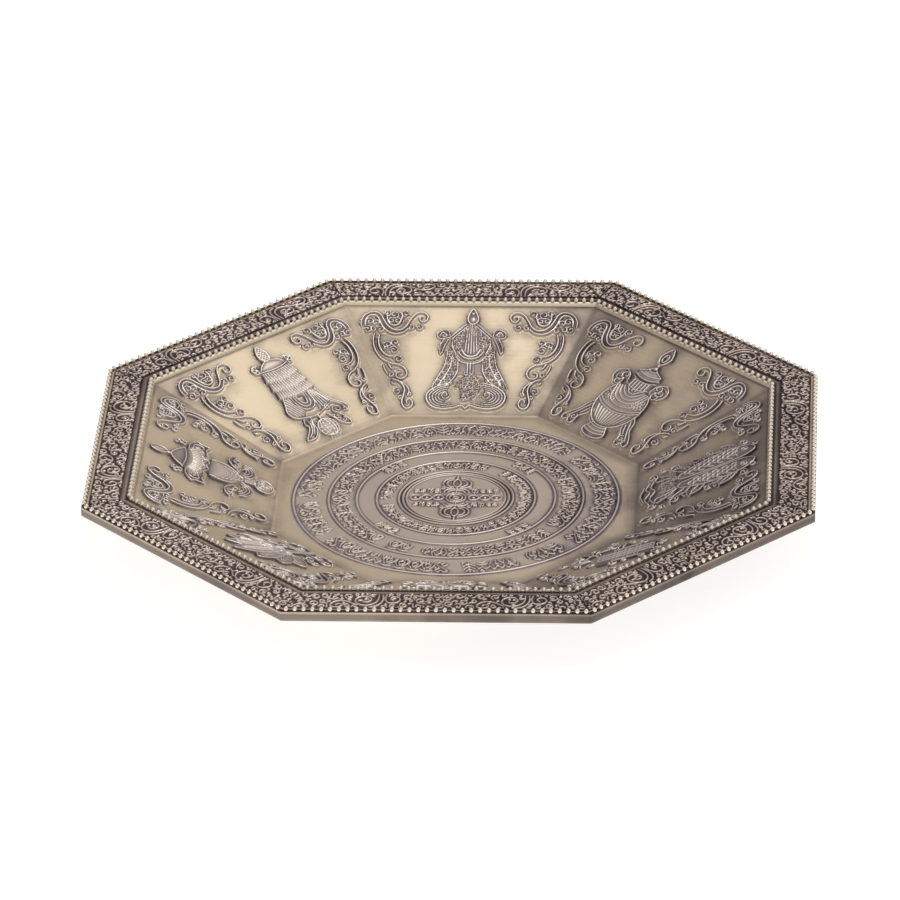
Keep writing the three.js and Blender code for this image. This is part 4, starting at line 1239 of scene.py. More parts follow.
            petal = at(even(0, (0, long), (2.6, long * 0.72), (3, long * 0.45), (1.6, 3))[::-1])
            inside = r.depth_inside(petal, False) > -0.2
            r.lines = np.where(inside, 0, r.lines)
            r.dome(petal, 0.3 - 0.002 * abs(tilt), 1.0, smooth=False)
            r.rib(petal, closed=True)
            r.ribs([at([(x * 0.5, long - 3.4), (x, long * 0.5), (x * 0.6, 4.5)])
                    for x in (-1.2, 0, 1.2)], 0.48)
        r.dome([(-5, 20), (0, 21.4), (5, 20), (3, 14.4), (-3, 14.4)], 0.5, 0.6)
        r.ribs([even(0, (wide, top), (0, low)) for wide, top, low in (
            (4.8, 19.6, 18.4), (4.2, 17.8, 16.6), (3.4, 16, 15))])
        r.curls([(5.2, 10.4, 1.6, 150, -460), (8.6, 6.6, 1.4, 150, -440), (3.4, 5, 1.3, 120, -440),
                 (9.8, 12, 1.2, 180, -440), (6.4, 3, 0.9, 180, 420)], 0.0)
        r.ribs([[(0.5, 14), (0.7, 10), (0.4, 2.4)], [(0.6, 8), (3, 8.6), (4.4, 9)],
                [(0.6, 6.4), (4, 7.4), (7.4, 8)], [(1, 3.2), (5, 2.4), (9, 4.4)],
                [(6.4, 11.8), (8, 13.4), (9.6, 13.2)]], about=0.0)

    def knot(self, r: Relief) -> None:
        """Draws the endless knot: double bands that cross, in a bed of cloud curls.

        Args:
            r: The panel.
        """
        centre, step, half = 21.8, 3.1, 7.8
        turn = math.sqrt(0.5)

        def at(x: float, y: float) -> Point:
            """Puts a point of the square knot on its corner."""
            return (x - y) * turn, centre + (x + y) * turn

        r.dome([at(half, half), at(-half, half), at(-half, -half), at(half, -half)], 0.04, smooth=False)
        for k in (-1, 0, 1):
            for width in (-0.55, 0.55):
                r.ribs([[at(-half, k * step + width), at(half, k * step + width)],
                        [at(k * step + width, -half), at(k * step + width, half)]], 0.62)
        for a, b in ((1, 0), (-1, 0), (0, 1), (0, -1)):
            for reach in (half, half - 1.1):
                r.rib([at(a * reach + b * s * step, b * reach + a * s * step)
                       for s in (-1.2, 0, 1.2)], 0.62)
        r.rib(even(0, (0, 38.5), (1.6, 36), (1.2, 34), (0, 33))[::-1], closed=True)
        r.pearl(0, 35.4, 0.8)
        r.curls([(3, 32, 1.1, 200, 440), (9.6, 26.6, 1.2, 180, -440), (9.8, 17.6, 1.2, 120, -440),
                 (6.4, 8, 1.8, 150, -480), (9.6, 5, 1.4, 150, -440), (2.8, 4.6, 1.4, 120, -440),
                 (6.8, 28.8, 0.9, 200, 420), (10.6, 12.6, 1, 90, 420)], 0.0)
        r.ribs([[(0.6, 9.8), (1.6, 8.4), (4.4, 9.4)], [(0.6, 7), (0.5, 4), (0.4, 2.2)],
                [(5.6, 13.6), (8.4, 12), (10.4, 9.4)], [(5, 12.2), (7.2, 10.8), (8.6, 8.6)]], about=0.0)

    def wheel(self, r: Relief) -> None:
        """Draws the wheel: eight spokes, a double rim with knobs, over a leafy base.

        Args:
            r: The panel.
        """
        centre = 22.4
        r.dome(oval(0, centre, 8.6, 8.6), 0.03)
        for radius in (8.4, 7.2, 2.8, 1.5):
            r.ring(0, centre, radius, radius, 0.62)
        for k in range(8):
            angle = k * math.pi / 4
            side = angle + math.pi / 2
            for shift in (-0.5, 0.5):
                r.rib([(reach * math.cos(angle) + shift * math.cos(side),
                        centre + reach * math.sin(angle) + shift * math.sin(side))
                       for reach in (2.8, 7.2)], 0.5)
            r.ring(10.2 * math.cos(angle), centre + 10.2 * math.sin(angle), 1, 1, 0.5)
            r.pearl(5.2 * math.cos(angle + 0.39), centre + 5.2 * math.sin(angle + 0.39), 0.6)
        r.rib(even(0, (0, 38.4), (1.4, 36.6), (0.9, 34.4))[::-1], closed=True)
        r.curls([(6.4, 9.2, 1.8, 150, -480), (9.8, 6, 1.4, 150, -440), (2.8, 6.6, 1.4, 120, -440),
                 (10.6, 12.4, 1.1, 180, -440), (5.6, 4.4, 0.9, 120, 420)], 0.0)
        r.ribs([[(0.6, 11), (2.4, 9.4), (5, 10.8)], [(0.6, 9), (3, 5), (8, 4)],
                [(0.4, 5), (3, 2.6), (7, 2.2)]], about=0.0)


class Symbol(Enum):
    """The symbol on each side's panel, in the order of SIDES."""

    DHARMA_WHEEL = "wheel"
    ENDLESS_KNOT = "knot"
    PAIR_OF_FISH = "fish"
    TREASURE_VASE = "vase"
    CONCH_SHELL = "conch"
    VICTORY_BANNER = "banner"
    PARASOL = "parasol"
    LOTUS = "lotus"

    @property
    def node(self) -> str:
        """The name of the symbol's node in the frame."""
        return self.name.lower()


@dataclass
class Maker:
    """Makes finished pieces and hands them to the frame."""

    finishes: dict[Finish, bpy.types.Material] = field(default_factory=dict)

    def material(self, finish: Finish) -> bpy.types.Material:
        """Returns a finish's material, building it on its first use."""
        if finish not in self.finishes:
            self.finishes[finish] = AntiquedBrass(finish.value).material
        return self.finishes[finish]

    def hand_over(self, piece: bpy.types.Object, node: str, finish: Finish) -> None:
        """Lets a finished piece stand for a node.

        Args:
            piece: The finished piece.
            node: The node that it replaces.
            finish: Its finish; not used.
        """
        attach(piece, "root")
        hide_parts(node)
        log.info("%s: %d faces", piece.name, len(piece.data.polygons))

    def place(self, shape: Shape, node: str, finish: Finish, sharp: float = 50.0) -> None:
        """Makes a shape a piece that stands for a node, crisp at edges past `sharp` degrees."""
        piece = shape.piece(f"{node}_cast", self.material(finish), sharp)
        self.hand_over(piece, node, finish)


@dataclass
class Panels:
    """The relief on the eight sloping panels."""

    dish: Dish
    maker: Maker
    worn_and_shaded: list[np.ndarray] = field(default_factory=list)
    sheet: Relief | None = None

    def build(self) -> None:
        """Draws each panel, cuts its pieces out and keeps the wear and painted shade for the ground round
        them.
        """
        ornament = PanelOrnament(self.dish)
        self.sheet = ornament.sheet
        left = ornament.corner_scroll()
        right = left.mirrored()
        for side, symbol in enumerate(Symbol):
            relief = ornament.sheet.layer()
            getattr(ornament, symbol.value)(relief)
            wear_and_shade = relief.wear_and_shade((left, right))
            self.worn_and_shaded.append(wear_and_shade)
            place = self.dish.panel_place(side)
            for drawn, node, finish in (
                (relief, symbol.node, Finish.SYMBOL),
                (left, f"{symbol.node}_left_scroll", Finish.SCROLL),
                (right, f"{symbol.node}_right_scroll", Finish.SCROLL),
            ):
                patch = cut_patch(drawn, drawn.height(), wear_and_shade).moved(place)
                self.maker.place(patch, node, finish, sharp=80)


@dataclass
class TrayShell:
    """The plain dish: floor, panels, riser, rim, skirt and hollow underside."""

    dish: Dish
    panels: Panels
    columns: int = 112
    panel_rows: int = 62
    fillet: float = 0.35
    wall: float = 2.0
    grain_side: float = 400.0

    def bend(self, before: Point, corner: Point, after: Point, radius: float) -> list[Point]:
        """Rounds one corner of the section.

        Args:
            before: The corner before it.
            corner: The corner to round.
            after: The corner after it.
            radius: How far back along each side the rounding starts.

        Returns:
            The points that stand for the corner.
        """
        steps = 3
        a, b, c = (np.array(p) for p in (before, corner, after))
        start = b + (a - b) / np.hypot(*(a - b)) * radius
        end = b + (c - b) / np.hypot(*(c - b)) * radius
        shares = np.linspace(0, 1, steps + 1)
        return [tuple((1 - t) ** 2 * start + 2 * t * (1 - t) * b + t ** 2 * end) for t in shares]

    def section(self) -> list[Place]:
        """Lists the section from the middle of the floor round the rim to the underside.

        Returns:
            The apothem, the level and the wear of each point.
        """
        dish, crease = self.dish, 0.6
        floor, foot = (dish.floor_apothem, dish.floor_top), (dish.riser_apothem, dish.riser_foot)
        base = (min(r for r, z in dish.profile if z < dish.floor_top - 0.1 and r > 1), 0.0)
        under = dish.corners_at(dish.rim_top - self.wall)
        # The skirt's lower edge is the lowest level that lies well outside the riser.
        skirt = dish.corners_at(min(z for r, z in dish.profile if r > dish.riser_apothem + 4))
        lip = ((0.02, 0.4), (0.08, 0.75), (0.2, 1.1), (0.34, 1.32), (0.5, 1.4))
        points: list[Place] = []

        def run(stops: Sequence[Point], wear_and_shade: float) -> None:
            """Adds points of one wear."""
            points.extend((r, z, wear_and_shade) for r, z in stops)

        # The third value of each point is its wear with painted light: the creases at the floor and at the
        # riser's foot hold patina and painted shade, and the riser's lip is rubbed and also lightened as a
        # painted highlight.
        run([(dish.floor_apothem * s, dish.floor_top) for s in (0.25, 0.5, 0.75, 0.93)], 0.49)
        run(self.bend((0, dish.floor_top), floor, foot, crease), 0.4)
        for i in range(1, self.panel_rows):
            share = i / self.panel_rows
            if crease < share * dish.slope_length < dish.slope_length - self.fillet:
                points.append((floor[0] + (foot[0] - floor[0]) * share,
                               floor[1] + (foot[1] - floor[1]) * share, OPEN_WEAR))
        level = dish.rim_top
        top = (dish.riser_apothem, level)
        run(self.bend(floor, foot, top, self.fillet), 0.36)
        run([(foot[0] + lean, foot[1] + rise) for lean, rise in lip], 0.95)
        rail_out = -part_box("front_inner_bead_rail")[0][1] / MM
        frieze_in = -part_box("front_frieze")[1][1] / MM
        frieze_out = -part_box("front_frieze")[0][1] / MM
        for r, wear_and_shade in (
            (top[0] + 0.75, 0.8), (top[0] + 1.0, 0.16), (rail_out - 0.2, 0.12),
            (rail_out + 0.15, 0.36), (rail_out + 0.5, 0.3), (frieze_in - 0.3, 0.16),
            (frieze_in, 0.08), (frieze_in + 0.4, 0.1), (frieze_out - 0.1, 0.06),
            (frieze_out + 0.1, 0.08), (frieze_out + 0.35, 0.5), (frieze_out + 0.7, 0.5),
            (frieze_out + 0.95, 0.2), (dish.rim_apothem - 0.7, 0.25),
        ):
            points.append((r, level, wear_and_shade))
        edge = (dish.rim_apothem, level)
        skirt_low = (dish.rim_apothem, skirt[-1][1] + 0.4)
        # Painted light: the rim's outer edge is lightened as a painted highlight and the skirt below it is
        # darkened as painted shade.
        run(self.bend(top, edge, skirt_low, 0.3), 0.42)
        run([(edge[0], level - s) for s in (0.9, 1.5, 2.1)], 0.26)
        run(self.bend(edge, skirt_low, skirt[-1], 0.15), 0.3)
        run([skirt[-1], skirt[0]], 0.45)
        run([(skirt[0][0], level - self.wall)], 0.3)
        run([under[0]], 0.35)
        run([base, (base[0] * 0.5, 0.0)], 0.45)
        return points

    def panel_wear_and_shade(self, side: int, apothem: float, along: np.ndarray) -> np.ndarray:
        """Works out the wear of a panel's ground, darkened with painted shade along its four edges.

        Args:
            side: The side's number.
            apothem: How far out the points stand.
            along: Their places along the side.

        Returns:
            The wear of each point.
        """
        up = (apothem - self.dish.floor_apothem) / math.cos(self.dish.slope)
        value = self.panels.sheet.sampled(
            self.panels.worn_and_shaded[side], -along, np.full(self.columns, up))
        # Painted shade: the ground darkens towards the creases at the panel's sides, at its foot and along
        # its top.
        for darker, gap, reach in (
            (0.1, apothem * SHARE - np.abs(along), 2.2), (0.16, up, 3),
            (0.08, self.dish.slope_length - up, 1.6),
        ):
            value = value - darker * np.exp(-gap / reach)
        return value

    def build(self, maker: Maker) -> None:
        """Sweeps the section round the eight sides and reads the wear and painted shade round the relief.

        Args:
            maker: Makes the piece.
        """
        section = self.section()
        count = len(SIDES) * self.columns
        share = np.linspace(-1, 1, self.columns, endpoint=False)
        rings, wears, grains = [], [], []
        travelled, last = 0.0, section[0]
        for apothem, level, wear_and_shade in section:
            travelled += math.hypot(apothem - last[0], level - last[1])
            last = (apothem, level)
            along = share * apothem * SHARE
            ring, tone, grain = [], [], []
            on_panel = wear_and_shade == OPEN_WEAR and self.dish.floor_top < level < self.dish.riser_foot \
                and apothem < self.dish.riser_apothem
            for side in range(len(SIDES)):
                turn = np.array(self.dish.side_turn(side).to_3x3())
                flat = np.stack([along, np.full(self.columns, -apothem),
                                 np.full(self.columns, level)], axis=1)
                ring.append(flat @ turn.T)
                value = np.full(self.columns, wear_and_shade)
                if on_panel:
                    value = self.panel_wear_and_shade(side, apothem, along)
                tone.append(value)
                grain.append(np.stack([along + self.grain_side * side,
                                       np.full(self.columns, travelled)], axis=1))
            rings.append(np.vstack(ring))
            wears.append(np.concatenate(tone))
            grains.append(np.vstack(grain))
        points = np.vstack([*rings, [[0, 0, self.dish.floor_top], [0, 0, 0]]])
        top, bottom = len(points) - 2, len(points) - 1
        quads = grid_quads(len(section), count, True)
        around = np.arange(count)
        following = (around + 1) % count
        start = (len(section) - 1) * count
        caps = [
            np.stack([following, around, np.full(count, top)], axis=1),
            np.stack([start + around, start + following, np.full(count, bottom)], axis=1),
        ]
        wear_and_shade = np.concatenate([*wears, [0.5, 0.45]])
        grain = np.vstack([*grains, [[0, 0], [0, 0]]])
        shape = Shape(points, [quads, *caps], wear_and_shade, grain)
        maker.place(shape, "tray_shell", Finish.DISH, sharp=34)


@dataclass
class Friezes:
    """The strips of running scroll on the rim, one a side."""

    dish: Dish
    maker: Maker
    cell: float = 0.18
    line: float = 0.5
    rise: float = 0.42
    ground: float = 0.08
    gap: float = 0.08
    clear: float = 0.3
    repeat: float = 39.0
    seed: int = 11

    def large_scroll(self, r: Relief, at: float) -> None:
        """Raises the big volute with its tendril and the small volute beside it.

        Args:
            r: The strip.
            at: The place along the strip.
        """
        lines = [
            [(-3.5, -3.5), (-3.5, -1.6), (-2.9, 0.8), (-1, 2.4), (1.2, 2.2), (2.6, 0.6), (2.4, -1.2),
             (0.8, -2.4), (-0.9, -2.1), (-1.6, -0.7), (-0.8, 0.6), (0.5, 0.5), (0.8, -0.4)],
            [(2.2, 2.2), (3.4, 1.4), (4.8, 0.4), (6.5, 0), (8.3, 0.7), (9.3, 2.4), (8.4, 3.5), (6.8, 3.4),
             (6.1, 2.3), (7, 1.6), (7.8, 2.3)],
            [(-5.6, -3.5), (-5.3, -1.4), (-5.8, 0.6), (-7, 1.2), (-8.5, 0.8), (-9.2, -0.7), (-8.6, -2.1),
             (-7.3, -2.2), (-6.7, -1.2), (-7.4, -0.4)],
            [(-4.6, -3.4), (-4.7, -0.8), (-4.1, 1.4), (-2.9, 2.9), (-1.2, 3.5)],
        ]
        r.ribs([[(at + x, y) for x, y in line] for line in lines], 1.2 * self.line)
        for x, y, size, start, turn in (
            (-10.3, 2.4, 1.0, 250, 460), (-7.3, 2.9, 0.8, 240, 420), (-10.9, -2.2, 1.1, 60, 460),
            (4.6, 2.7, 0.8, 270, 420), (4.4, -2.4, 1.0, 60, -420),
        ):
            r.curl(at + x, y, size, start, turn, self.line)

    def fill(self, r: Relief, half: float) -> None:
        """Fills what the large scrolls leave free with curls of falling size, each on a stem.

        Args:
            r: The strip.
            half: Half the length to fill.
        """
        dice = np.random.default_rng(self.seed)
        corner = np.array([half, r.top - self.clear])
        for size, tries in ((1.05, 500), (0.78, 1500), (0.52, 3000), (0.34, 3000)):
            for place in dice.uniform(-corner, corner, (tries, 2)):
                start, way = dice.uniform(0, 2 * math.pi), int(dice.choice((-1, 1)))
                if not self.free(r, place, CURL_REACH * size + self.clear):
                    continue
                r.curl(*place, size, math.degrees(start), 430 * way, self.line)
                out = np.array([math.cos(start), math.sin(start)])
                back = way * np.array([out[1], -out[0]])
                stem = [place + CURL_REACH * size * (a * out + b * back)
                        for a, b in ((1, 0), (1.1, 0.7), (1.6, 1.2))]
                r.rib(stem, self.line, 1.0, (1.0, 0.5))

    def free(self, r: Relief, place: np.ndarray, reach: float) -> bool:
        """Tells whether a place has room round it.

        Args:
            r: The strip.
            place: The place.
            reach: The room that it needs.

        Returns:
            Whether no line of the strip stands within that reach.
        """
        span = math.ceil(reach / self.cell)
        column, row = np.rint((place - (r.left, r.foot)) / self.cell).astype(int)
        rows, columns = (slice(max(0, at - span), at + span + 1) for at in (row, column))
        u, v = np.meshgrid(r.across[columns] - place[0], r.up[rows] - place[1])
        return not (r.lines[rows, columns][np.hypot(u, v) < reach] > 0.3).any()

    def draw(self, half: float, width: float) -> Relief:
        """Draws the whole strip.

        Args:
            half: Half its length at the outer edge.
            width: Its width.

        Returns:
            The relief, with Y from -width/2 to width/2.
        """
        r = Relief(-half - 1, half + 1, -width / 2, width / 2, self.cell)
        for at in (-self.repeat / 2, self.repeat / 2):
            self.large_scroll(r, at - 0.4)
        self.fill(r, half)
        return r

    def build(self) -> None:
        """Lays the strip on each side, with its ends cut to the mitre."""
        low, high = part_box("front_frieze")
        outer, inner = -low[1] / MM, -high[1] / MM
        middle, width = (outer + inner) / 2, outer - inner
        relief = self.draw(outer * SHARE, width)
        wear_and_shade = relief.ground_wear(0.3, 0.18, 0.5)
        rows, columns = relief.lines.shape[0], round(2 * inner * SHARE / self.cell)
        level = np.linspace(-width / 2, width / 2, rows)
        end = (middle + level) * SHARE - self.gap
        reach = inner * SHARE
        straight = reach - 4
        along = np.linspace(-reach, reach, columns)[None, :]
        stretch = np.clip((np.abs(along) - straight) / (reach - straight), 0, 1)
        along = along + np.sign(along) * stretch ** 2 * (end[:, None] - reach)
        up = np.broadcast_to(level[:, None], along.shape)
        height = self.ground + self.rise * relief.sampled(relief.lines, along, up)
        edge = np.minimum(width / 2 - np.abs(up), end[:, None] - np.abs(along))
        # Painted shade: the strip darkens towards its long edges and its mitred ends, where it meets the rim.
        tone = relief.sampled(wear_and_shade, along, up) * np.clip(0.35 + edge / 0.5, 0, 1)
        top = np.stack([along, up, height], axis=2).reshape(-1, 3)
        rim = np.concatenate([
            np.arange(columns), columns - 1 + columns * np.arange(1, rows),
            (rows - 1) * columns + np.arange(columns - 2, -1, -1),
            columns * np.arange(rows - 2, 0, -1),
        ])
        under = top[rim].copy()
        under[:, 2] = -0.4
        points = np.vstack([top, under, [[0, 0, -0.4]]])
        loop = len(top) + np.arange(len(rim))
        faces = [
            np.vstack([grid_quads(rows, columns),
                       np.stack([np.roll(rim, -1), rim, loop, np.roll(loop, -1)], axis=1)]),
            np.stack([np.roll(loop, -1), loop, np.full(len(rim), len(points) - 1)], axis=1),
        ]
        shape = Shape(points, faces, np.concatenate([tone.ravel(), np.zeros(len(rim) + 1)]))
        for side, name in enumerate(SIDES):
            place = self.dish.rim_place(side, middle)
            self.maker.place(shape.moved(place), f"{name}_frieze", Finish.FRIEZE)


@dataclass
class Medallion:
    """The relief on the floor: plain rings, bands of ornament and the thunderbolt emblem.

    A share `gaps` of the marks is left out, and `patina` holds the ground's wear, the shade
    among the lines, its reach and the haze round them.
    """

    dish: Dish
    maker: Maker
    cell: float = 0.2
    ground: float = 0.04
    rise: float = 0.36
    seed: int = 5
    gaps: float = 0.07
    patina: tuple[float, ...] = (0.54, 0.34, 0.4, 0.12)
    bounds: tuple[float, ...] = (46.3, 36.3, 28.6, 22.9, 16.9, 13.3)

    def mark(self, r: Relief, x: float, y: float, size: float, kind: int, flip: int,
             width: float = 0.44) -> None:
        """Raises one small ornament mark: a flame, a cloud, a leaf, a bud or a knot.

        Args:
            r: The band.
            x: Its place along the band.
            y: Its place across the band.
            size: Its height.
            kind: Which mark it is.
            flip: 1, or -1 for the mark turned left to right.
            width: The width of its lines.
        """
        patterns = (
            ([[(0, -2.3), (-0.1, -1)], [(-0.7, -0.7), (0, 0.8), (0.7, -0.7), (0, -1.2), (-0.7, -0.7)],
              [(-1.5, -1.9), (-1.4, -0.2), (-0.6, 1.1)], [(1.5, -1.9), (1.4, -0.2), (0.6, 1.1)],
              [(-1.3, 1.8), (0, 2.3), (1.3, 1.8)]], (1, -1.9)),
            ([[(0.2, 2.3), (-0.8, 1.2), (0.4, 0.3), (-0.7, -0.8), (0.2, -2.3)],
              [(1.4, 2), (1, 0.6), (1.6, -0.8)], [(-1.5, 0.8), (-1.6, -0.8), (-1, -1.9)]], (1, -1.5)),
            ([[(0, -0.6), (-0.3, -2.3)], [(-1.5, -0.5), (-0.9, -1.8)], [(1.5, -0.5), (0.9, -1.8)],
              [(-1.7, 0.7), (-1, 2.1), (0, 1.1), (1, 2.1), (1.7, 0.7)]], (0, 0.2)),
            ([[(-1.6, -0.4), (-1.1, 0.9), (-0.2, 0.3), (0.3, 1.2), (1.2, 0.8), (1.6, -0.4)],
              [(-1.3, -1.2), (0, -0.8), (1.3, -1.2)], [(-0.9, -2.2), (0.2, -1.7), (1.1, -2.2)]], (-0.4, 2)),
            ([[(0, -2.3), (0.2, 0), (0, 2.3)], [(-1.4, -0.4), (0, -1.3), (1.4, -0.4)],
              [(-1.3, 1), (0, 0), (1.3, 1)], [(-0.9, 2.1), (0, 1.3), (0.9, 2.1)]], (1.3, -1.8)),
            ([[(-1.4, 1.6), (-0.6, 2.3), (0, 1.5), (0.6, 2.3), (1.4, 1.6), (0, 0.1), (-1.4, -1.2)],
              [(1.4, -1.2), (0.3, -0.4)], [(-1.4, 1.6), (-0.4, 0.6)],
              [(-1.4, -1.2), (-0.6, -2.2), (0, -1.4), (0.6, -2.2), (1.4, -1.2)]], (-1.2, 0.3)),
        )
        lines, (u, v) = patterns[kind]
        s = size / 5
        r.ribs([[(x + flip * s * a, y + s * b) for a, b in line] for line in lines], width)
        r.curl(x + flip * s * u, y + s * v, 0.5 * s, 40 * kind, flip * 380, 0.36)

    def band(self, inner: float, outer: float, ridges: Sequence[float],
             marks: Sequence[tuple[float, float, float]], groups: bool = False) -> Shape:
        """Builds one ring-shaped plate of the floor.

        Args:
            inner: Its inner radius.
            outer: Its outer radius.
            ridges: The radii of its plain ridges.
            marks: The middle radius, the height and the pitch of each row of marks.
            groups: Whether a small group of marks stands on each diagonal.

        Returns:
            The plate as a closed body on the floor.
        """
        middle = (inner + outer) / 2
        length = round(2 * math.pi * middle / self.cell) * self.cell
        r = Relief(0, length, inner - middle, outer - middle, self.cell, True)
        dice = np.random.default_rng(self.seed + round(outer))
        for radius in ridges:
            across = np.arange(0, length, 0.1)
            line = np.column_stack([across, np.full(len(across), radius - middle)])
            r.stamp(line, np.full(len(line), 0.34), np.full(len(line), 0.85))
        for radius, size, pitch in marks:
            count = round(2 * math.pi * radius / pitch)
            for k in range(count):
                shift, kind = dice.uniform(-0.2, 0.2), int(dice.integers(6))
                flip = int(dice.choice((-1, 1)))
                if dice.random() > self.gaps:
                    self.mark(r, (k + 0.5) / count * length, radius - middle + shift, size, kind, flip)
        if groups:
            for k in range(4):
                for step in (-1, 0, 1):
                    self.mark(r, (k + 0.5) / 4 * length + 2.6 * step, -0.1, 3.2, int(dice.integers(6)), 1)
        wear_and_shade = r.ground_wear(*self.patina)
        height = self.ground + self.rise * r.lines
        rows, columns = height.shape
        radii = np.arange(rows) * self.cell + inner
        angle = -2 * math.pi * np.arange(columns) / columns
        x, y = np.cos(angle)[None] * radii[:, None], np.sin(angle)[None] * radii[:, None]
        top = np.stack([x, y, height], axis=2).reshape(-1, 3)
        first, last = np.arange(columns), (rows - 1) * columns + np.arange(columns)
        low_first, low_last = len(top) + np.arange(columns), len(top) + columns + np.arange(columns)
        under = np.vstack([top[first], top[last]])
        under[:, 2] = -0.3
        following = partial(np.roll, shift=-1)
        faces = np.vstack([
            grid_quads(rows, columns, True),
            np.stack([following(first), first, low_first, following(low_first)], axis=1),
            np.stack([last, following(last), following(low_last), low_last], axis=1),
            np.stack([following(low_first), low_first, low_last, following(low_last)], axis=1),
        ])
        wear_and_shade = np.concatenate([wear_and_shade.ravel(), np.zeros(2 * columns)])
        return Shape(np.vstack([top, under]), [faces], wear_and_shade)

    def emblem(self) -> Shape:
        """Builds the disc with the upright thunderbolt, its small circles and ornament marks.

        Returns:
            The disc as a closed body on the floor.
        """
        limit = self.bounds[-1]
        r = Relief(-limit - 1, limit + 1, -limit - 1, limit + 1, 0.18)
        quarter = (
            [(0.9, 5.5), (2.9, 6), (3.9, 7.8), (3.6, 9.8), (2.2, 11.2), (0.9, 11.7)],
            [(1, 6.3), (2.3, 7), (2.8, 8.4), (2.3, 9.9), (1.1, 10.7)],
            [(0.3, 4.9), (1.8, 5), (3.1, 4.3), (3.5, 3.3)],
            [(0.4, 4.1), (1.5, 4.1), (2.4, 3.3)],
        )
        for way in (1, -1):
            for side in (-1, 1):
                r.ribs([[(side * x, way * y) for x, y in line] for line in quarter], 0.5)
                r.curl(side * 4, way * 5.6, 0.6, 90, side * 400, 0.38)
                for k, x in enumerate((5.2, 7.2, 9.2, 11)):
                    self.mark(r, side * x, way * 4, 2.5 - 0.2 * k, (2 * k + way + side) % 6, side, 0.38)
            r.rib([(0, way * 2.8), (0, way * 6.4)], 0.5)
            r.rib([(0, way * 10.8), (0, way * 12.9)], 0.6)
            prong = even(0, (0, 6.2), (0.9, 7.6), (0.9, 9.4), (0, 11))[::-1]
            r.rib([(x, way * y) for x, y in prong], 0.5, closed=True)
        for radius in (2.7, 1.8, 0.7):
            r.ring(0, 0, radius, radius, 0.46)
        for x in (4.9, 8.1, 11.3):
            for side in (-1, 1):
                r.ring(side * x, 0, 1.4, 1.4, 0.46)
                r.pearl(side * x, 0, 0.5)
        u, v = np.meshgrid(r.across, r.up)
        reach = np.hypot(u, v)
        height = np.where(reach < limit + 0.2, self.ground + self.rise * r.lines, -1)
        wear_and_shade = r.ground_wear(*self.patina)
        return cut_patch(r, height, wear_and_shade, 0.0, 0.3)

    def build(self) -> None:
        """Lays the plates on the floor, from the outer ring to the emblem."""
        b = self.bounds
        floor = Matrix.Translation((0, 0, self.dish.floor_top))
        plates = (
            ("outer_floor_ring", b[1], b[0], (45.2,), ((41.1, 5.9, 3.8),), False),
            ("second_floor_ring", b[2], b[1], (35.4,), ((32, 5.1, 3.4),), False),
            ("third_floor_ring", b[3], b[2], (27.6,), (), True),
            ("fourth_floor_ring", b[4], b[3], (22.0,), ((19.4, 3.4, 2.5),), False),
            ("emblem_ring", b[5], b[4], (15.9, 14.7, 13.7), (), False),
        )
        for node, inner, outer, ridges, marks, groups in plates:
            shape = self.band(inner, outer, ridges, marks, groups)
            self.maker.place(shape.moved(floor), node, Finish.MEDALLION)
        self.maker.place(self.emblem().moved(floor), "vajra_emblem", Finish.MEDALLION)


@dataclass(frozen=True)
class BeadRow:
    """One row of pearls: their pitch, size and shift, and the bar's insets, height and wear, with patina and
    painted shade in the gaps.
    """

    name: str
    pitch: float
    size: Place
    shift: float
    insets: tuple[float, float]
    bar_rise: float
    gap_wear_and_shade: float


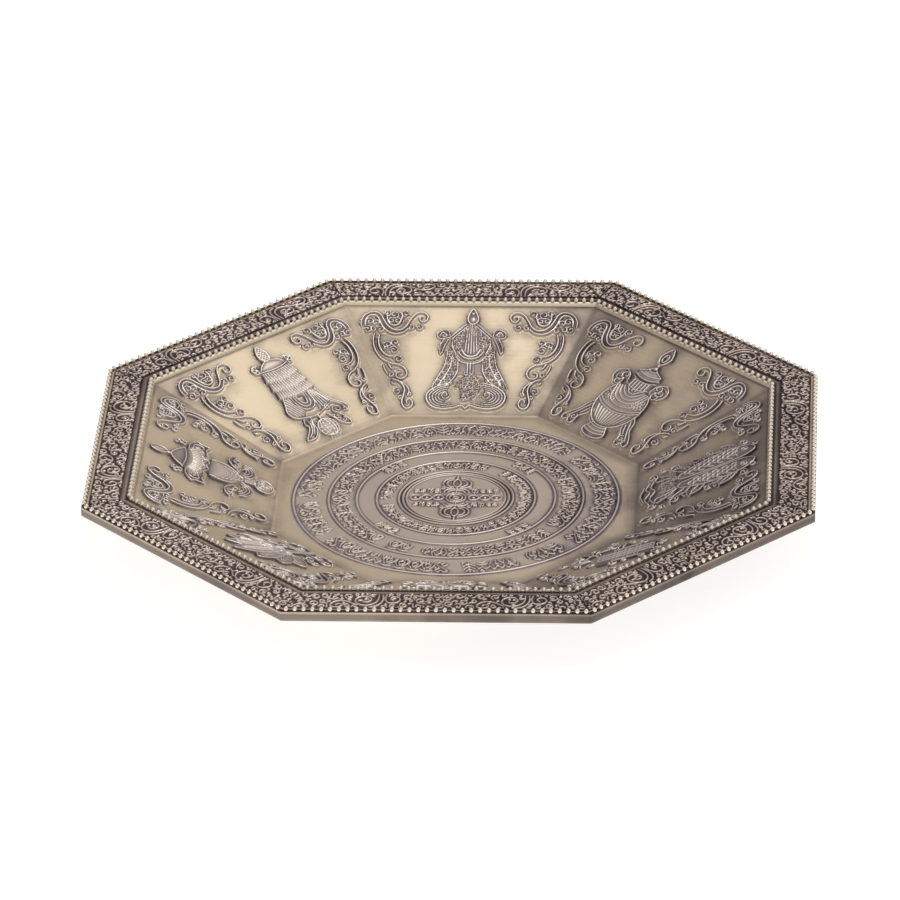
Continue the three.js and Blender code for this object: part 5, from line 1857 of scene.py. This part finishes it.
@dataclass
class BeadRails:
    """The two rows of pearls round the rim, made with Geometry Nodes from a mitred bar."""

    dish: Dish
    maker: Maker
    mitre: float = 0.06
    rows: tuple[BeadRow, ...] = (
        BeadRow("outer", 2.36, (1.36, 1.3, 1.6), 0.0, (0.2, 0.08), 0.12, 0.22),
        BeadRow("inner", 2.24, (1.28, 1.45, 2.2), -0.32, (0.7, 0.4), 0.06, 0.16),
    )

    def bead_tree(self) -> bpy.types.NodeTree:
        """Builds the tree that sets beads along a line and joins them to their bar.

        Returns:
            The node group, with named inputs for its sizes.
        """
        tree = bpy.data.node_groups.new("bead_row", "GeometryNodeTree")
        tree.interface.new_socket("Geometry", in_out="INPUT", socket_type="NodeSocketGeometry")
        for name, kind in (
            ("Beads", "NodeSocketInt"), ("Start", "NodeSocketVector"), ("End", "NodeSocketVector"),
            ("Size", "NodeSocketVector"), ("Turn", "NodeSocketFloat"), ("Gap Wear And Shade", "NodeSocketFloat"),
            ("Material", "NodeSocketMaterial"),
        ):
            tree.interface.new_socket(name, in_out="INPUT", socket_type=kind)
        tree.interface.new_socket("Geometry", in_out="OUTPUT", socket_type="NodeSocketGeometry")
        given = add_node(tree, "NodeGroupInput").outputs
        line = add_node(tree, "GeometryNodeMeshLine", {
            "Count": given["Beads"], "Start Location": given["Start"], "Offset": given["End"],
        }, mode="END_POINTS")
        bead = add_node(tree, "GeometryNodeMeshUVSphere", {"Segments": 14, "Rings": 8, "Radius": 0.5})
        place = add_node(tree, "GeometryNodeInputPosition").outputs[0]
        # The beads are rubbed bright on top and darken at their feet to the gap's value; the bar between them
        # holds patina and painted shade.
        rubbed = add_node(tree, "ShaderNodeMapRange", {
            "Value": add_node(tree, "ShaderNodeSeparateXYZ", {0: place}).outputs["Z"],
            "From Min": -0.36, "From Max": -0.02, "To Min": given["Gap Wear And Shade"], "To Max": 1.0,
        })
        turn = add_node(tree, "ShaderNodeCombineXYZ", {"Z": given["Turn"]})
        worn_and_shaded = [
            add_node(tree, "GeometryNodeStoreNamedAttribute", {
                "Geometry": shape, "Name": "wear_and_shade", "Value": value,
            }, data_type="FLOAT", domain="POINT").outputs[0]
            for shape, value in ((bead.outputs[0], rubbed.outputs[0]), (given["Geometry"], given["Gap Wear And Shade"]))
        ]
        beads = add_node(tree, "GeometryNodeInstanceOnPoints", {
            "Points": line.outputs[0], "Instance": worn_and_shaded[0], "Rotation": turn.outputs[0],
            "Scale": given["Size"],
        })
        joined = add_node(tree, "GeometryNodeJoinGeometry")
        tree.links.new(worn_and_shaded[1], joined.inputs[0])
        tree.links.new(beads.outputs[0], joined.inputs[0])
        whole = add_node(tree, "GeometryNodeRealizeInstances", {0: joined.outputs[0]})
        smooth = add_node(tree, "GeometryNodeSetShadeSmooth", {"Geometry": whole.outputs[0]})
        dressed = add_node(tree, "GeometryNodeSetMaterial", {
            "Geometry": smooth.outputs[0], "Material": given["Material"],
        })
        add_node(tree, "NodeGroupOutput", {0: dressed.outputs[0]})
        return tree

    def bar(self, near: float, far: float, rise: float) -> tuple[list[Place], list[tuple[int, ...]]]:
        """Gives the mitred bar under the beads of the front side.

        Args:
            near: Its inner apothem.
            far: Its outer apothem.
            rise: How far it stands over the rim.

        Returns:
            Its points and its faces.
        """
        level = self.dish.rim_top
        points = []
        for apothem in (near, far):
            half = apothem * SHARE - self.mitre
            for z in (level - 0.2, level + rise):
                points += [(-half, -apothem, z), (half, -apothem, z)]
        faces = [(0, 1, 3, 2), (5, 4, 6, 7), (4, 5, 1, 0), (2, 3, 7, 6), (4, 0, 2, 6), (1, 5, 7, 3)]
        return points, faces

    def row(self, tree: bpy.types.NodeTree, side: int, row: BeadRow) -> None:
        """Makes one side's length of beads.

        Args:
            tree: The bead tree.
            side: The side's number.
            row: Which row it is.
        """
        node = f"{SIDES[side]}_{row.name}_bead_rail"
        low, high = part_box(f"front_{row.name}_bead_rail")
        near, far = -high[1] / MM, -low[1] / MM
        middle = (near + far) / 2 + row.shift
        turn = self.dish.side_turn(side)
        points, faces = self.bar(near + row.insets[0], far - row.insets[1], row.bar_rise)
        mesh = bpy.data.meshes.new(f"{node}_bar")
        mesh.from_pydata([turn @ Vector(p) * MM for p in points], [], faces)
        bar = linked(f"{node}_bar", mesh)
        half = middle * SHARE - self.mitre
        count = round(2 * half / row.pitch)
        first = half * (1 - 1 / count)
        centre = high[2] / MM - 0.02 - row.size[2] / 2
        values = {
            "Beads": count, "Start": turn @ Vector((-first, -middle, centre)) * MM,
            "End": turn @ Vector((first, -middle, centre)) * MM, "Size": Vector(row.size) * MM,
            "Turn": side * 2 * HALF_ANGLE, "Gap Wear And Shade": row.gap_wear_and_shade,
            "Material": self.maker.material(Finish.BEAD),
        }
        modifier = bar.modifiers.new("beads", "NODES")
        modifier.node_group = tree
        for socket in tree.interface.items_tree:
            if socket.in_out == "INPUT" and socket.name in values:
                modifier[socket.identifier] = values[socket.name]
        bpy.context.view_layer.update()
        ready = bar.evaluated_get(bpy.context.evaluated_depsgraph_get())
        plain = bpy.data.meshes.new_from_object(ready)
        plain.name = f"{node}_pearls"
        bpy.data.objects.remove(bar)
        self.maker.hand_over(linked(f"{node}_pearls", plain), node, Finish.BEAD)

    def build(self) -> None:
        """Makes the outer and the inner row on every side."""
        tree = self.bead_tree()
        for side in range(len(SIDES)):
            for row in self.rows:
                self.row(tree, side, row)


@dataclass(frozen=True)
class Lamp:
    """A soft box: where it hangs, where it points, its size and its power."""

    name: str
    place: Place
    aim: Place
    size: float
    power: float


@dataclass
class Studio:
    """A white table, soft light and the camera."""

    camera_place: Place = (111.6, -1877.6, 988.0)
    camera_aim: Place = (-0.95, -7.1, 20.7)
    camera_roll: float = -1.146
    lens: float = 305.7
    sensor: float = 36.0
    table: float = 6.0
    room: float = 1.0
    start: float = 0.6
    slope: Place = (0.5, -0.5, 0.45)
    tones: tuple[tuple[float, str], ...] = (
        (0.0, "5c5862"), (0.33, "a9a4ab"), (0.55, "c8c0b8"), (1.0, "e2dcd2"),
    )
    lamps: tuple[Lamp, ...] = (
        Lamp("key_box", (80, 260, 640), (0, 0, 0), 320, 0.6),
    )

    def camera(self) -> None:
        """Sets the camera up where the picture was taken from."""
        data = bpy.data.cameras.new("camera")
        data.lens, data.sensor_width = self.lens, self.sensor
        data.clip_start, data.clip_end = 0.05, 50
        camera = linked("camera", data)
        place = Vector(self.camera_place)
        look = (Vector(self.camera_aim) - place).to_track_quat("-Z", "Y")
        roll = Quaternion((0, 0, 1), math.radians(self.camera_roll))
        camera.rotation_mode = "QUATERNION"
        camera.rotation_quaternion = look @ roll
        camera.location = place * MM
        bpy.context.scene.camera = camera

    def light(self) -> None:
        """Hangs the soft boxes and sets the pale room."""
        for lamp in self.lamps:
            data = bpy.data.lights.new(lamp.name, "AREA")
            data.shape, data.size, data.energy = "DISK", lamp.size * MM, lamp.power
            light = linked(lamp.name, data)
            light.location = Vector(lamp.place) * MM
            aim = (Vector(lamp.aim) - Vector(lamp.place)).to_track_quat("-Z", "Y")
            light.rotation_euler = aim.to_euler()
        world = bpy.data.worlds.new("room")
        tree = blank_tree(world)
        way = add_node(tree, "ShaderNodeSeparateXYZ", {
            0: add_node(tree, "ShaderNodeTexCoord").outputs["Generated"],
        }).outputs
        level = self.start
        for axis, share in zip("XYZ", self.slope):
            part = add_node(tree, "ShaderNodeMath", {0: way[axis], 1: share, 2: level},
                            operation="MULTIPLY_ADD")
            level = part.outputs[0]
        shade = colour_ramp(tree, level, self.tones)
        room = add_node(tree, "ShaderNodeBackground", {"Color": shade, "Strength": self.room})
        add_node(tree, "ShaderNodeOutputWorld", {"Surface": room.outputs[0]})
        bpy.context.scene.world = world

    def floor(self) -> None:
        """Lays the white table, which stays white to the eye but keeps a faint shadow."""
        mesh = bpy.data.meshes.new("table")
        half = self.table / 2
        mesh.from_pydata([(-half, -half, 0), (half, -half, 0), (half, half, 0), (-half, half, 0)],
                         [], [(0, 1, 2, 3)])
        table = linked("table", mesh)
        # White paper, pressed and uncoated: matt, so the tray leaves only a soft shadow on it.
        material = bpy.data.materials.new("white_table")
        tree = blank_tree(material)
        ray = add_node(tree, "ShaderNodeLightPath").outputs
        paper = add_node(tree, "ShaderNodeBsdfDiffuse", {"Color": linear("c0bebc")})
        glow = add_node(tree, "ShaderNodeEmission", {"Color": linear("ffffff"), "Strength": 0.8})
        white = add_node(tree, "ShaderNodeAddShader", {0: paper.outputs[0], 1: glow.outputs[0]})
        shown = ray["Is Camera Ray"]
        for kind in ("Is Glossy Ray", "Is Transmission Ray"):
            shown = add_node(tree, "ShaderNodeMath", {0: shown, 1: ray[kind]}, operation="MAXIMUM").outputs[0]
        mixed = add_node(tree, "ShaderNodeMixShader", {0: shown, 1: paper.outputs[0], 2: white.outputs[0]})
        add_node(tree, "ShaderNodeOutputMaterial", {"Surface": mixed.outputs[0]})
        material.cycles.emission_sampling = "NONE"
        mesh.materials.append(material)

    def build(self) -> None:
        """Sets up the whole studio."""
        self.camera()
        self.light()
        self.floor()
        bpy.context.scene.view_settings.view_transform = "Standard"


def main() -> None:
    """Builds the tray's pieces in order and sets the studio round them."""
    logging.basicConfig(level=logging.INFO, format="%(name)s: %(message)s")
    dish = Dish()
    maker = Maker()
    Studio().build()
    panels = Panels(dish, maker)
    panels.build()
    TrayShell(dish, panels).build(maker)
    Friezes(dish, maker).build()
    BeadRails(dish, maker).build()
    Medallion(dish, maker).build()
    log.info("sizes: %s", dish)


if __name__ == "__main__":
    main()
